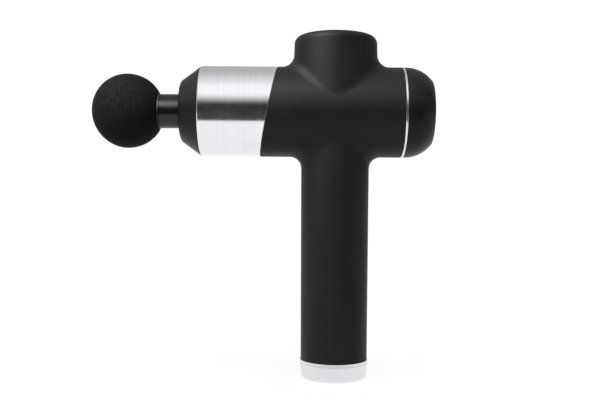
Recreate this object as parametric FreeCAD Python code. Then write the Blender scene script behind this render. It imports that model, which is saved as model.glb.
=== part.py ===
# Massage gun: a cordless percussion massager with a ball head.
# Millimetres, +Z up, origin at the centre of the flat underside of the base.
# The handle runs up the Z axis, the barrel lies along X and the head points to -X.
import FreeCAD, Part
import math
import os

Vec = FreeCAD.Vector
X, Y, Z = Vec(1, 0, 0), Vec(0, 1, 0), Vec(0, 0, 1)
FAR = 400.0

# ---- barrel and motor bump ----
barrel_z = 177.05
barrel_radius = 30.0
barrel_wall = 2.8
barrel_end_x = 43.7
bump_inset = 1.0
bump_taper = 1.5
bump_height = 50.45
bump_wall = 2.8
roof_thickness = 3.0
bump_blend = 8.25
bump_edge_radius = 5.0
seam_gap = 0.1
rib_root = 0.5
rib_gap = 0.2
front_rib_thickness = 1.6
front_rib_window = 4.0

# ---- sleeve and nose ----
sleeve_front_x = -89.4
sleeve_cut_x = -43.9
sleeve_cut_tilt = 11.0
sleeve_wall = 1.6
sleeve_edge = 0.4
sleeve_bevel_length = 0.6
sleeve_bevel_depth = 0.5
sleeve_cut_reach = 15.0
spigot_front_x = -88.0
spigot_wall = 2.1
spigot_clearance = 0.05
nose_front_x = -102.9
nose_inset = 0.7
nose_cone_angle = 36.0
nose_lip = 0.6
nose_shoulder = 3.6
nose_wall = 2.3
nose_corner_wall = 1.5
nose_bore_gap = 0.9
nose_skirt_end_x = -85.0
nose_skirt_slack = 0.1
seal_width = 1.8
seal_depth = 1.6
seal_gap = 0.3
seal_set_back = 0.8

# ---- battery and handle ----
cell_diameter = 18.35
cell_length = 64.0
cell_button = 1.0
cell_gap = 0.2
pack_clearance = 0.15
handle_wall = 2.05
handle_taper = 0.7
handle_end_z = 12.3
handle_blend = 7.75
floor_thickness = 2.0
holder_thickness = 1.5
holder_lip = 2.4
holder_post = 9.0
holder_lead_slack = 0.25
pad_slack = 0.3
strap_half_width = 2.5
strap_reach = 3.5
dimple_radius = 2.4
strap_thickness = 0.3
pad_thickness = 0.8
post_radius = 2.3
pack_board_thickness = 1.2
pack_board_inset = 2.5
board_post_reach = 3.0
board_post_radius = 1.6
plug_end_x = 9.0
plug_length = 5.0
plug_y = 3.5
plug_width = 7.0
plug_height = 5.0
lead_radius = 0.6
lead_half_pitch = 1.1
lead_hole_slack = 0.5
battery_lead_radius = 0.8
battery_lead_half_pitch = 1.3
battery_lead_turn_x = 13.0
battery_lead_bend = 1.3
battery_entry_drop = 8.0

# ---- base ----
base_overhang = 0.4
base_taper = 0.8
base_ring_height = 1.9
base_groove = 0.06
base_rim_round = 0.12
base_wall = 2.4
base_floor = 2.6
base_edge_radius = 2.4
base_screw_offset = 14.5
base_screw_recess = 0.4
base_screw_length = 9.8
base_boss_radius = 3.0
socket_x = -9.5
socket_radius = 4.4
socket_bore = 2.9
socket_pin_radius = 1.0
socket_depth = 8.0
switch_x = 9.2
switch_length = 13.0
switch_width = 8.5
switch_wall = 0.8
switch_tilt = 7.0
recess = 1.0
socket_recess = 0.4
socket_mouth = 0.6
socket_flange = 0.9
socket_flange_thickness = 1.4
pin_recess = 1.6
switch_height = 7.4
switch_pivot_height = 3.2
switch_flange = 0.7
switch_flange_thickness = 1.2
hinge_radius = 0.8
hinge_slack = 0.05

# ---- drive: crank, yoke and piston ----
stroke_half = 6.0
crank_rim = 9.5
crank_thickness = 6.0
crank_pin_radius = 2.5
pin_collar = 1.2
pin_end = 1.4
crank_lift = 1.8
crank_pocket_radius = 3.4
crank_pocket_floor = 2.4
race_radius = 8.0
race_width = 5.0
# a yoke driven at a constant ratio runs up to 0.21 of the throw ahead of the pin
linear_lead = 0.2106
slot_clearance = 0.18
yoke_thickness = 7.0
yoke_rim = 3.6
yoke_end_wall = 0.9
yoke_corner = 4.0
slot_corner = 2.5
slot_end_gap = 0.5
yoke_tang = 8.0
piston_radius = 11.4
piston_front_x = -117.1
piston_rear_x = -30.0
run_clearance = 0.05
bush_wall = 1.6
bush_length = 12.0
stem_radius = 7.9
stem_depth = 42.0
stem_clearance = 0.06
yoke_tail_radius = 6.0
yoke_tail_length = 16.0
cross_pin_radius = 1.5
cross_pin_inset = 0.5
piston_bevel = 0.5

# ---- drive frame ----
tube_wall = 2.4
flange_front_x = -84.0
flange_rear_x = -36.0
flange_thickness = 3.0
frame_end_gap = 1.0
lead_slot_x = 20.6
lead_slot_length = 4.0
lead_slot_width = 10.0
damper_thickness = 1.0
deck_gap = 1.4
deck_clearance = 0.6
deck_thickness = 3.0
cheek_thickness = 2.5
cheek_gap = 1.5
cheek_drop = 8.0
cheek_reach = 5.0
damper_fit = 0.03

# ---- motor ----
shaft_radius = 2.5
motor_bearing_radius = 6.5
motor_bearing_width = 4.0
bearing_tube_wall = 1.1
bearing_shoulder = 1.2
bearing_end_gap = 0.6
hub_wall = 2.5
motor_plate_radius = 13.0
motor_plate_thickness = 2.5
motor_screw_length = 5.2
motor_screw_inset = 0.3
stack_height = 17.0
tooth_count = 12
stator_hub_wall = 2.6
tooth_tip = 1.5
tooth_mouth = 1.8
tooth_width = 2.6
coil_thickness = 0.95
coil_overhang = 1.25
magnet_count = 14
magnet_thickness = 2.2
air_gap = 0.5
bell_radius = 23.5
bell_wall = 2.0
bell_clearance = 1.2
bell_roof = 2.2
bell_round = 1.4
bell_windows = 6
bell_window_radius = 2.6
clip_width = 1.4
clip_thickness = 0.8

# ---- head ----
ball_x = -138.4
ball_radius = 24.75
ball_length_half = 24.0
ball_rear_x = -117.5
ball_outline_points = 16
core_radius = 13.0
collar_step = 0.2
collar_depth = 2.0
collar_gap = 0.1
stem_end_gap = 1.5
stem_bevel = 0.8
ring_set = (12.0, 30.0)
ring_squeeze = 0.02
ring_radius = 0.9

# ---- rear cap and controls ----
ring_width = 1.6
ring_proud = 0.08
rear_straight = 1.2
rear_corner_x = 63.95
rear_corner_radius = 21.35
rear_wall = 2.2
rear_edge_round = 0.5
rear_skirt_slack = 0.1
rear_joint_length = 1.5
rear_skirt_gap = 0.4
rear_rib_x = 35.4
rear_rib_thickness = 3.0
rear_rib_inner = 14.0
lens_thickness = 2.0
lens_crown = 1.1
lens_gap = 0.15
lens_rim = 0.7
seat_thickness = 2.0
key_radius = 4.2
key_gap = 0.12
key_flange = 1.0
key_flange_thickness = 0.8
key_flange_slack = 0.3
key_round = 0.35
key_stem_radius = 1.5
key_travel = 0.6
key_proud = 0.45
key_orbit = 11.5
key_angles = {"power_key": -90.0, "plus_key": -18.0, "minus_key": -162.0}
board_thickness = 1.6
board_radius = 17.4
board_screw_orbit = 15.6
board_screw_angles = (25.0, 205.0)
cap_post_radius = 3.0
notch_slack = 0.4
display_post_radius = 2.0
display_screw_hole = 0.9
seat_setback = 1.8
cap_post_orbit = 18.3
cap_post_angles = (0.0, 120.0, 240.0)

# ---- screws ----
screw_shank = 1.25
screw_head = 2.2
screw_head_height = 1.6
screw_slack = 0.2
boss_radius = 3.0
counterbore_boss_radius = 3.6
housing_screw_x = 29.3
housing_screw_rise = 20.0
housing_screw_head_y = 12.0
housing_screw_length = 22.0

# ---- sizes worked out from the ones above ----
barrel_bore = barrel_radius - barrel_wall
sleeve_bore = barrel_radius - sleeve_wall
spigot_radius = sleeve_bore - spigot_clearance
spigot_bore = spigot_radius - spigot_wall
nose_radius = barrel_radius - nose_inset
top_z = barrel_z + bump_height
cell_radius = cell_diameter / 2
cell_orbit = (cell_diameter + cell_gap) / math.sqrt(3)
pack_radius = cell_orbit + cell_radius
handle_bore = pack_radius + pack_clearance
handle_radius = handle_bore + handle_wall
base_radius = handle_radius + base_overhang
floor_top_z = handle_end_z + floor_thickness
bay_gap = 2 * counterbore_boss_radius + 0.8
pack_base_z = floor_top_z + pad_thickness + strap_thickness
bay_height = 2 * holder_thickness + cell_length + cell_button
bay_z = (pack_base_z, pack_base_z + bay_height + bay_gap)
pack_top_z = bay_z[1] + bay_height
handle_screw_z = bay_z[1] - bay_gap / 2
bush_bore = piston_radius + run_clearance
bush_radius = bush_bore + bush_wall
tube_radius = bush_radius + tube_wall
core_collar = piston_radius + collar_step
rear_cap_start_x = barrel_end_x + ring_width
crank_radius = stroke_half + crank_rim
crank_base_z = barrel_z + yoke_thickness / 2 + crank_lift
over_crank_z = crank_base_z + crank_thickness + deck_gap
over_piston_z = barrel_z + piston_radius + deck_clearance
deck_z = max(over_crank_z, over_piston_z)
deck_top_z = deck_z + deck_thickness
slot_half_x = race_radius + linear_lead * stroke_half + slot_clearance
slot_half_y = race_radius + stroke_half + slot_end_gap
yoke_half_x = slot_half_x + yoke_rim
yoke_half_y = slot_half_y + yoke_rim + yoke_end_wall
cheek_y = yoke_half_y + cheek_gap
magnet_bore = bell_radius - bell_wall - magnet_thickness
stator_radius = magnet_bore - air_gap
bearing_tube_radius = motor_bearing_radius + bearing_tube_wall
stack_z = deck_top_z + motor_plate_thickness + screw_head_height + coil_overhang + 0.3
bell_base_z = stack_z - 1.0
bell_roof_z = stack_z + stack_height + 3.0
bell_top_z = bell_roof_z + bell_roof
shaft_top_z = bell_top_z + 1.2
# the bump is nearly as wide as the barrel, and its cavity, which narrows upwards,
# always holds the motor and the deck below it
cavity_slope = bump_taper / (bump_height - roof_thickness)
deck_need = math.hypot(cheek_y + cheek_thickness, cheek_reach) + damper_thickness + damper_fit
cavity_need = max(
    bell_radius + bell_clearance + cavity_slope * (bell_top_z - barrel_z),
    deck_need + cavity_slope * (deck_top_z - barrel_z),
)
bump_radius = max(barrel_radius - bump_inset, cavity_need + bump_wall)
cavity_radius = bump_radius - bump_wall
deck_outer = cavity_radius - cavity_slope * (deck_top_z - barrel_z) - damper_fit
deck_radius = deck_outer - damper_thickness
cheek_rear_x = math.sqrt(deck_radius**2 - (cheek_y + cheek_thickness) ** 2)
bearing_tube_top_z = stack_z + stack_height - 0.6
lens_back_x = rear_corner_x - lens_thickness
seat_x = lens_back_x - seat_thickness
lens_radius = rear_corner_radius - lens_rim
display_x = seat_x - seat_setback - board_thickness
controller_x = rear_rib_x + rear_rib_thickness
battery_board_z = pack_top_z + strap_thickness + 1.5
lead_orbit = (cell_orbit + pack_radius) / 2 + 1.6


def cyl(radius, start, length, axis=Z):
    return Part.makeCylinder(radius, length, start, axis)


def tube(radius, bore, start, length, axis=Z):
    return cyl(radius, start, length, axis).cut(cyl(bore, start, length, axis))


def box(x0, x1, y0, y1, z0, z1):
    return Part.makeBox(x1 - x0, y1 - y0, z1 - z0, Vec(x0, y0, z0))


def on_barrel(x, radius=0.0, angle=90.0):
    """A point by its place along the barrel; angle 0 is +Y and 90 is up."""
    turn = math.radians(angle)
    return Vec(x, radius * math.cos(turn), barrel_z + radius * math.sin(turn))


def on_handle(radius, angle, z):
    turn = math.radians(angle)
    return Vec(radius * math.cos(turn), radius * math.sin(turn), z)


def wire_through(points):
    return Part.makePolygon(points + [points[0]])


def turned_on_barrel(profile):
    """A solid of revolution about the barrel axis from (x, radius) corners."""
    face = Part.Face(wire_through([on_barrel(x, r) for x, r in profile]))
    return face.revolve(on_barrel(0), X, 360)


def turned_on_handle(profile):
    face = Part.Face(wire_through([Vec(r, 0, z) for r, z in profile]))
    return face.revolve(Vec(0, 0, 0), Z, 360)


def round_edges(shape, radius, wanted):
    """Fillet each edge whose sampled points all satisfy the test."""
    picked = []
    for edge in shape.Edges:
        first, last = edge.ParameterRange
        samples = [edge.valueAt(first + (last - first) * k / 6) for k in range(7)]
        if all(wanted(p) for p in samples):
            picked.append(edge)
    return shape.makeFillet(radius, picked)


def bevel_edges(shape, size, wanted):
    picked = []
    for edge in shape.Edges:
        first, last = edge.ParameterRange
        samples = [edge.valueAt(first + (last - first) * k / 6) for k in range(7)]
        if all(wanted(p) for p in samples):
            picked.append(edge)
    return shape.makeChamfer(size, picked)


def near(a, b, slack=0.02):
    return abs(a - b) < slack


def from_barrel_axis(p):
    return math.hypot(p.y, p.z - barrel_z)


def from_handle_axis(p):
    return math.hypot(p.x, p.y)


def bump_radius_at(z):
    return bump_radius - bump_taper * (z - barrel_z) / bump_height


def handle_radius_at(z):
    return handle_radius + handle_taper * (z - handle_end_z) / (barrel_z - handle_end_z)


def screw(seat, direction, length, shank=screw_shank, head=screw_head):
    """A socket screw: its head stands on seat and its shank runs along direction."""
    shape = cyl(shank, Vec(0, 0, 0), length)
    shape = shape.fuse(cyl(head, Vec(0, 0, -screw_head_height), screw_head_height))
    corners = [on_handle(head * 0.5, 60 * k, -screw_head_height) for k in range(6)]
    socket = Part.Face(wire_through(corners)).extrude(Vec(0, 0, screw_head_height * 0.6))
    shape = shape.cut(socket)
    shape.Placement = FreeCAD.Placement(seat, FreeCAD.Rotation(Z, direction))
    return shape


def bent_tube(points, radius, bend):
    """A round lead: straight runs through the points, joined by tangent arcs."""
    edges = []
    start = points[0]
    for before, corner, after in zip(points, points[1:], points[2:]):
        way_in = (corner - before).normalize()
        way_out = (after - corner).normalize()
        turn = way_in.getAngle(way_out)
        reach = bend * math.tan(turn / 2)
        arc_start = corner - way_in * reach
        arc_end = corner + way_out * reach
        inward = (way_out - way_in).normalize()
        middle = corner + inward * (bend / math.cos(turn / 2) - bend)
        edges.append(Part.LineSegment(start, arc_start).toShape())
        edges.append(Part.Arc(arc_start, middle, arc_end).toShape())
        start = arc_end
    edges.append(Part.LineSegment(start, points[-1]).toShape())
    path = Part.Wire(edges)
    section = Part.Wire(Part.makeCircle(radius, points[0], points[1] - points[0]))
    return path.makePipeShell([section], True, False)


def save(name, *solids):
    shape = solids[0] if len(solids) == 1 else Part.makeCompound(list(solids))
    shape.exportStep(f"parts/{name}.step")


# ---------------------------------------------------------------- housing
def ahead_of_cut(offset=0.0):
    """Everything in front of the slanted joint between sleeve and housing."""
    block = box(-FAR, sleeve_cut_x + offset, -FAR, FAR, barrel_z - 60, barrel_z + 60)
    return block.rotate(Vec(sleeve_cut_x, 0, barrel_z), Y, sleeve_cut_tilt)


def housing_outside():
    barrel = cyl(barrel_radius, on_barrel(-60), 60 + barrel_end_x, X)
    bump = Part.makeCone(bump_radius, bump_radius - bump_taper, bump_height, on_barrel(0))
    length = barrel_z - handle_end_z
    top = handle_radius + handle_taper
    handle = Part.makeCone(handle_radius, top, length, Vec(0, 0, handle_end_z))
    body = barrel.fuse([bump, handle]).removeSplitter()

    def bump_foot(p):
        on_bump = p.z > barrel_z and near(from_handle_axis(p), bump_radius_at(p.z))
        return on_bump and near(from_barrel_axis(p), barrel_radius)

    def handle_head(p):
        on_grip = p.z < barrel_z and near(from_handle_axis(p), handle_radius_at(p.z))
        return on_grip and near(from_barrel_axis(p), barrel_radius)

    body = round_edges(body, bump_blend, bump_foot)
    body = round_edges(body, handle_blend, handle_head)
    return round_edges(body, bump_edge_radius, lambda p: near(p.z, top_z))


def housing_inside():
    join_x = flange_rear_x + flange_thickness + frame_end_gap
    barrel = cyl(barrel_bore, on_barrel(join_x), FAR, X)
    front = cyl(spigot_bore, on_barrel(-FAR), FAR + join_x, X)
    rise = bump_height - roof_thickness
    bump = Part.makeCone(cavity_radius, cavity_radius - bump_taper, rise, on_barrel(0))
    length = barrel_z - floor_top_z
    handle = Part.makeCone(handle_bore, handle_bore + handle_taper, length, Vec(0, 0, floor_top_z))
    opening = cyl(handle_bore / 2, Vec(0, 0, 0), FAR / 2)
    return [barrel, front, bump, handle, opening]


def housing_screw_points():
    corners = [
        Vec(sx * housing_screw_x, 0, barrel_z + sz * housing_screw_rise)
        for sx in (-1, 1)
        for sz in (-1, 1)
    ]
    return corners + [Vec(0, 0, handle_screw_z)]


def boss_envelope():
    """The housing's space less half a wall, so that bosses end inside the wall."""
    barrel = cyl(barrel_radius - barrel_wall / 2, on_barrel(-60), 60 + barrel_end_x, X)
    shrink = handle_wall / 2
    length = barrel_z - handle_end_z
    top = handle_radius + handle_taper - shrink
    handle = Part.makeCone(handle_radius - shrink, top, length, Vec(0, 0, handle_end_z))
    return barrel.fuse(handle)


def housing_bosses():
    left, right, holes = [], [], []
    for p in housing_screw_points():
        left.append(cyl(boss_radius, p, FAR / 8, -Y))
        right.append(cyl(counterbore_boss_radius, p, FAR / 8, Y))
        holes.append(cyl(screw_shank + screw_slack, p, FAR / 8, Y))
        seat = p + Y * housing_screw_head_y
        holes.append(cyl(screw_head + screw_slack, seat, FAR / 8, Y))
        reach = housing_screw_length - housing_screw_head_y + 1.0
        holes.append(cyl(screw_shank, p, reach, -Y))
    return left + right, holes


def housing_ribs():
    """The rear bulkhead and the two ribs that locate the front flange."""
    bulkhead = tube(
        barrel_bore + rib_root, rear_rib_inner, on_barrel(rear_rib_x), rear_rib_thickness, X
    )
    behind = on_barrel(flange_front_x + flange_thickness + rib_gap)
    window = tube_radius + front_rib_window
    front_rib = tube(spigot_bore + rib_root, window, behind, front_rib_thickness, X)
    base_bosses = [
        cyl(base_boss_radius, Vec(0, s * base_screw_offset, base_floor), floor_top_z - base_floor)
        for s in (-1, 1)
    ]
    return [bulkhead, front_rib] + base_bosses


def housing_holes():
    holes = []
    for angle in cap_post_angles:
        start = on_barrel(rear_rib_x, cap_post_orbit, angle)
        holes.append(cyl(screw_shank, start, rear_rib_thickness, X))
    for angle in board_screw_angles:
        start = on_barrel(rear_rib_x, board_screw_orbit, angle)
        holes.append(cyl(screw_shank, start, rear_rib_thickness, X))
    for s in (-1, 1):
        holes.append(cyl(screw_shank, Vec(0, s * base_screw_offset, 0), base_screw_length + 2.0))
    for s in (-1, 1):
        start = Vec(-lead_orbit, s * lead_half_pitch, 0)
        holes.append(cyl(lead_radius + lead_hole_slack, start, floor_top_z + 1))
    return holes


def housing_halves():
    outside = housing_outside()
    spigot = cyl(spigot_radius, on_barrel(spigot_front_x), 60, X)
    solid = outside.cut(ahead_of_cut()).fuse(spigot)
    shell = solid.cut(housing_inside())
    bosses, boss_holes = housing_bosses()
    envelope = boss_envelope()
    bosses = [b.common(envelope) for b in bosses]
    shell = shell.fuse(bosses + housing_ribs()).cut(boss_holes + housing_holes())
    half_gap = seam_gap / 2
    left = shell.common(box(-FAR, FAR, -FAR, -half_gap, -FAR, FAR))
    right = shell.common(box(-FAR, FAR, half_gap, FAR, -FAR, FAR))
    return left, right


def housing_screws():
    shapes = []
    for p in housing_screw_points():
        shapes.append(screw(p + Y * housing_screw_head_y, -Y, housing_screw_length))
    return shapes


# ---------------------------------------------------------------- front
def front_sleeve():
    rear_x = sleeve_cut_x + sleeve_cut_reach
    body = turned_on_barrel(
        [
            (sleeve_front_x, sleeve_bore),
            (sleeve_front_x, barrel_radius - sleeve_bevel_depth),
            (sleeve_front_x + sleeve_bevel_length, barrel_radius),
            (rear_x, barrel_radius),
            (rear_x, sleeve_bore),
        ]
    )
    body = body.common(ahead_of_cut(-seam_gap))

    def cut_rim(p):
        on_cut = p.x > sleeve_cut_x - sleeve_cut_reach
        return near(from_barrel_axis(p), barrel_radius) and on_cut

    return bevel_edges(body, sleeve_edge, cut_rim)


def nose_cap():
    rear_x = sleeve_front_x - nose_lip
    slope = math.tan(math.radians(nose_cone_angle))
    face_radius = nose_radius - (rear_x - nose_front_x) * slope
    bore = piston_radius + nose_bore_gap
    seat = spigot_front_x - seam_gap
    skirt = spigot_bore - nose_skirt_slack
    inner = skirt - nose_wall
    hollow_x = seal_x() + seal_width + nose_wall / 3
    hollow_front = face_radius - nose_wall - nose_corner_wall
    body = turned_on_barrel(
        [
            (nose_front_x, bore),
            (nose_front_x, face_radius),
            (rear_x, nose_radius),
            (rear_x, sleeve_bore - spigot_clearance),
            (seat, sleeve_bore - spigot_clearance),
            (seat, skirt),
            (nose_skirt_end_x, skirt),
            (nose_skirt_end_x, inner),
            (hollow_x + (inner - hollow_front) / slope, inner),
            (hollow_x, hollow_front),
            (hollow_x, bore),
        ]
    )
    body = round_edges(
        body, nose_shoulder, lambda p: near(p.x, nose_front_x) and from_barrel_axis(p) > bore + 1
    )
    return body.cut(cyl(bore + seal_depth, on_barrel(seal_x()), seal_width, X))


def seal_x():
    return nose_front_x + seal_set_back


def shaft_seal():
    outer = piston_radius + nose_bore_gap + seal_depth
    return tube(outer, piston_radius + seal_gap, on_barrel(seal_x()), seal_width, X)


# ---------------------------------------------------------------- drive frame
def drive_frame():
    length = flange_rear_x + flange_thickness - flange_front_x
    guide = cyl(tube_radius, on_barrel(flange_front_x), length, X)
    flange_radius = spigot_bore - damper_thickness
    front = cyl(flange_radius, on_barrel(flange_front_x), flange_thickness, X)
    rear = cyl(flange_radius, on_barrel(flange_rear_x), flange_thickness, X)
    deck = cyl(deck_radius, Vec(0, 0, deck_z), deck_thickness)
    bridge = box(flange_rear_x, 0, -cheek_y, cheek_y, deck_z, deck_top_z)
    cheeks = [
        box(
            flange_rear_x,
            cheek_rear_x,
            min(s * cheek_y, s * (cheek_y + cheek_thickness)),
            max(s * cheek_y, s * (cheek_y + cheek_thickness)),
            barrel_z - cheek_drop,
            deck_top_z,
        )
        for s in (-1, 1)
    ]
    envelope = cyl(flange_radius, on_barrel(-FAR), 2 * FAR, X)
    side_parts = bridge.fuse(cheeks).common(envelope)
    frame = guide.fuse([front, rear, deck, side_parts])
    holes = [
        cyl(bush_radius, on_barrel(flange_front_x), length, X),
        cyl(shaft_radius + hub_wall, Vec(0, 0, deck_z), deck_thickness),
        lead_slot(),
    ]
    for angle in motor_screw_angles():
        start = on_handle(motor_screw_orbit(), angle, deck_z)
        holes.append(cyl(screw_shank, start, deck_thickness))
    return frame.cut(holes)


def lead_slot():
    """The opening in the deck for the three phase leads."""
    half_x, half_y = lead_slot_length / 2, lead_slot_width / 2
    return box(lead_slot_x - half_x, lead_slot_x + half_x, -half_y, half_y, deck_z, deck_top_z)


def motor_screw_orbit():
    return motor_plate_radius - screw_head - motor_screw_inset


def motor_screw_angles():
    return [45.0 + 90.0 * k for k in range(4)]


def guide_bushes():
    rear_start = flange_rear_x + flange_thickness - bush_length
    return [
        tube(bush_radius, bush_bore, on_barrel(x), bush_length, X)
        for x in (flange_front_x, rear_start)
    ]


def damping_rings():
    inner = spigot_bore - damper_thickness
    rings = [
        tube(spigot_bore, inner, on_barrel(x), flange_thickness, X)
        for x in (flange_front_x, flange_rear_x)
    ]
    deck_ring = tube(deck_outer, deck_radius, Vec(0, 0, deck_z), deck_thickness)
    keep = box(-8, deck_outer, -deck_outer, deck_outer, deck_z, deck_top_z)
    return rings + [deck_ring.common(keep)]


# ---------------------------------------------------------------- motor
def bearing(radius, bore, start, width, axis=Z, balls=8):
    """Inner race, outer race and balls held in their groove."""
    wall = (radius - bore) * 0.3
    outer = tube(radius, radius - wall, start, width, axis)
    inner = tube(bore + wall, bore, start, width, axis)
    middle = (radius + bore) / 2
    ball = (radius - bore) / 2 - wall - 0.02
    centre = start + axis * (width / 2)
    groove = Part.makeTorus(middle, ball + 0.03, centre, axis)
    outer = outer.cut(groove)
    inner = inner.cut(groove)
    turned = [on_handle(middle, 360 / balls * k, 0) for k in range(balls)]
    return [outer, inner] + [Part.makeSphere(ball, centre + p) for p in turned]


def motor_base():
    plate = cyl(motor_plate_radius, Vec(0, 0, deck_top_z), motor_plate_thickness)
    pillar = cyl(bearing_tube_radius, Vec(0, 0, deck_top_z), bearing_tube_top_z - deck_top_z)
    body = plate.fuse(pillar)
    low, high = motor_bearing_z()
    holes = [
        cyl(motor_bearing_radius, Vec(0, 0, deck_top_z), motor_bearing_width + bearing_end_gap),
        cyl(motor_bearing_radius - bearing_shoulder, Vec(0, 0, low), high - low),
        cyl(motor_bearing_radius, Vec(0, 0, high), FAR / 8),
    ]
    for angle in motor_screw_angles():
        start = on_handle(motor_screw_orbit(), angle, deck_top_z)
        holes.append(cyl(screw_shank + screw_slack, start, motor_plate_thickness))
    return body.cut(holes)


def motor_bearing_z():
    return deck_top_z + bearing_end_gap, bearing_tube_top_z - motor_bearing_width - 0.4


def motor_bearings():
    shapes = []
    for z in motor_bearing_z():
        shapes += bearing(
            motor_bearing_radius, shaft_radius + 0.02, Vec(0, 0, z), motor_bearing_width
        )
    return shapes


def motor_screws():
    top = deck_top_z + motor_plate_thickness
    return [
        screw(on_handle(motor_screw_orbit(), angle, top), -Z, motor_screw_length)
        for angle in motor_screw_angles()
    ]


def stator_core():
    hub_radius = bearing_tube_radius + stator_hub_wall
    hub = tube(hub_radius, bearing_tube_radius, Vec(0, 0, stack_z), stack_height)
    teeth = []
    tip_inner = stator_radius - tooth_tip
    half = tooth_width / 2
    tip_half = math.pi * stator_radius / tooth_count - tooth_mouth / 2
    tips = tube(stator_radius, tip_inner, Vec(0, 0, stack_z), stack_height)
    for k in range(tooth_count):
        arm = box(hub_radius - 0.4, tip_inner + 0.4, -half, half, stack_z, stack_z + stack_height)
        tip_box = box(0, FAR, -tip_half, tip_half, stack_z, stack_z + stack_height)
        tooth = arm.fuse(tips.common(tip_box))
        teeth.append(tooth.rotate(Vec(0, 0, 0), Z, 360 / tooth_count * k))
    return hub.fuse(teeth)


def stator_windings():
    hub_radius = bearing_tube_radius + stator_hub_wall
    inner, outer = hub_radius + 0.5, stator_radius - 1.9
    half = tooth_width / 2 + 0.05
    wide = half + coil_thickness
    low, high = stack_z - coil_overhang, stack_z + stack_height + coil_overhang
    core = box(inner, outer, -half, half, stack_z - 0.05, stack_z + stack_height + 0.05)
    coil = box(inner, outer, -wide, wide, low, high)
    coil = coil.makeFillet(
        0.7, [e for e in coil.Edges if near(e.BoundBox.XLength, outer - inner)]
    ).cut(core)
    return [coil.copy().rotate(Vec(0, 0, 0), Z, 360 / tooth_count * k) for k in range(tooth_count)]


def rotor_bell():
    height = bell_top_z - bell_base_z
    skirt = cyl(bell_radius, Vec(0, 0, bell_base_z), height)
    skirt = round_edges(skirt, bell_round, lambda p: near(p.z, bell_top_z))
    hollow = cyl(bell_radius - bell_wall, Vec(0, 0, bell_base_z), bell_roof_z - bell_base_z)
    hub = cyl(shaft_radius + hub_wall, Vec(0, 0, bell_roof_z - 1.5), 1.5)
    windows = []
    for k in range(bell_windows):
        start = on_handle(bell_radius * 0.55, 360 / bell_windows * k, bell_roof_z - 1)
        windows.append(cyl(bell_window_radius, start, bell_roof + 2))
    bore = cyl(shaft_radius, Vec(0, 0, bell_base_z), height + 1)
    return skirt.cut(hollow).fuse(hub).cut(windows + [bore])


def rotor_magnets():
    outer = bell_radius - bell_wall
    low = stack_z + 0.5
    ring = tube(outer, magnet_bore, Vec(0, 0, low), stack_height - 1.0)
    half = math.pi * magnet_bore / magnet_count - 0.4
    cutter = box(0, FAR, -half, half, 0, FAR)
    segment = ring.common(cutter)
    step = 360 / magnet_count
    return [segment.copy().rotate(Vec(0, 0, 0), Z, step * k) for k in range(magnet_count)]


def motor_shaft():
    shaft = cyl(shaft_radius, Vec(0, 0, crank_base_z), shaft_top_z - crank_base_z)
    return bevel_edges(shaft, 0.3, lambda p: near(p.z, shaft_top_z))


def shaft_clip():
    start = Vec(0, 0, bell_top_z)
    return tube(shaft_radius + clip_width, shaft_radius, start, clip_thickness)


# ---------------------------------------------------------------- crank and piston
def crank_wheel():
    """A disc with the pin hole at its throw and a heavier side opposite the pin."""
    disc = cyl(crank_radius, Vec(0, 0, crank_base_z), crank_thickness)
    disc = bevel_edges(disc, 0.5, lambda p: near(from_handle_axis(p), crank_radius))
    holes = [
        cyl(shaft_radius, Vec(0, 0, crank_base_z), crank_thickness),
        cyl(crank_pin_radius, Vec(0, -stroke_half, crank_base_z), crank_thickness),
    ]
    pocket_floor = crank_base_z + crank_pocket_floor
    for side in (-1, 1):
        start = Vec(side * crank_radius * 0.52, -stroke_half - 1.6, pocket_floor)
        holes.append(cyl(crank_pocket_radius, start, crank_thickness))
    return disc.cut(holes)


def crank_pin():
    low = barrel_z - race_width / 2 - pin_end
    pin = cyl(crank_pin_radius, Vec(0, -stroke_half, low), crank_base_z + crank_thickness - low)
    collar_low = barrel_z + race_width / 2
    collar_start = Vec(0, -stroke_half, collar_low)
    collar = cyl(crank_pin_radius + pin_collar, collar_start, crank_base_z - collar_low)
    return pin.fuse(collar)


def crank_bearing():
    start = Vec(0, -stroke_half, barrel_z - race_width / 2)
    return bearing(race_radius, crank_pin_radius, start, race_width, balls=9)


def pin_clip():
    start = Vec(0, -stroke_half, barrel_z - race_width / 2 - 1.0)
    return tube(crank_pin_radius + clip_width - 0.1, crank_pin_radius, start, clip_thickness)


def yoke():
    low, high = barrel_z - yoke_thickness / 2, barrel_z + yoke_thickness / 2
    plate = box(-yoke_half_x, yoke_half_x, -yoke_half_y, yoke_half_y, low, high)
    slot = box(-slot_half_x, slot_half_x, -slot_half_y, slot_half_y, low, high)

    def upright(shape, radius):
        corners = [e for e in shape.Edges if near(e.BoundBox.ZLength, high - low)]
        return shape.makeFillet(radius, corners)

    frame = upright(plate, yoke_corner).cut(upright(slot, slot_corner))
    tang_end_x = -slot_half_x - yoke_rim / 3
    tang = box(piston_rear_x, tang_end_x, -yoke_tang, yoke_tang, low, high)
    tail_start = on_barrel(piston_rear_x - yoke_tail_length)
    tail = cyl(yoke_tail_radius, tail_start, yoke_tail_length, X)
    blade = frame.fuse([tang, tail])
    return blade.cut(cyl(cross_pin_radius, cross_pin_start(), 2 * yoke_tang, Y))


def cross_pin_start(reach=None):
    reach = yoke_tang if reach is None else reach
    return on_barrel(piston_rear_x - yoke_tail_length / 2) - Y * reach


def cross_pin():
    reach = piston_radius - cross_pin_inset
    return cyl(cross_pin_radius, cross_pin_start(reach), 2 * reach, Y)


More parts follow.
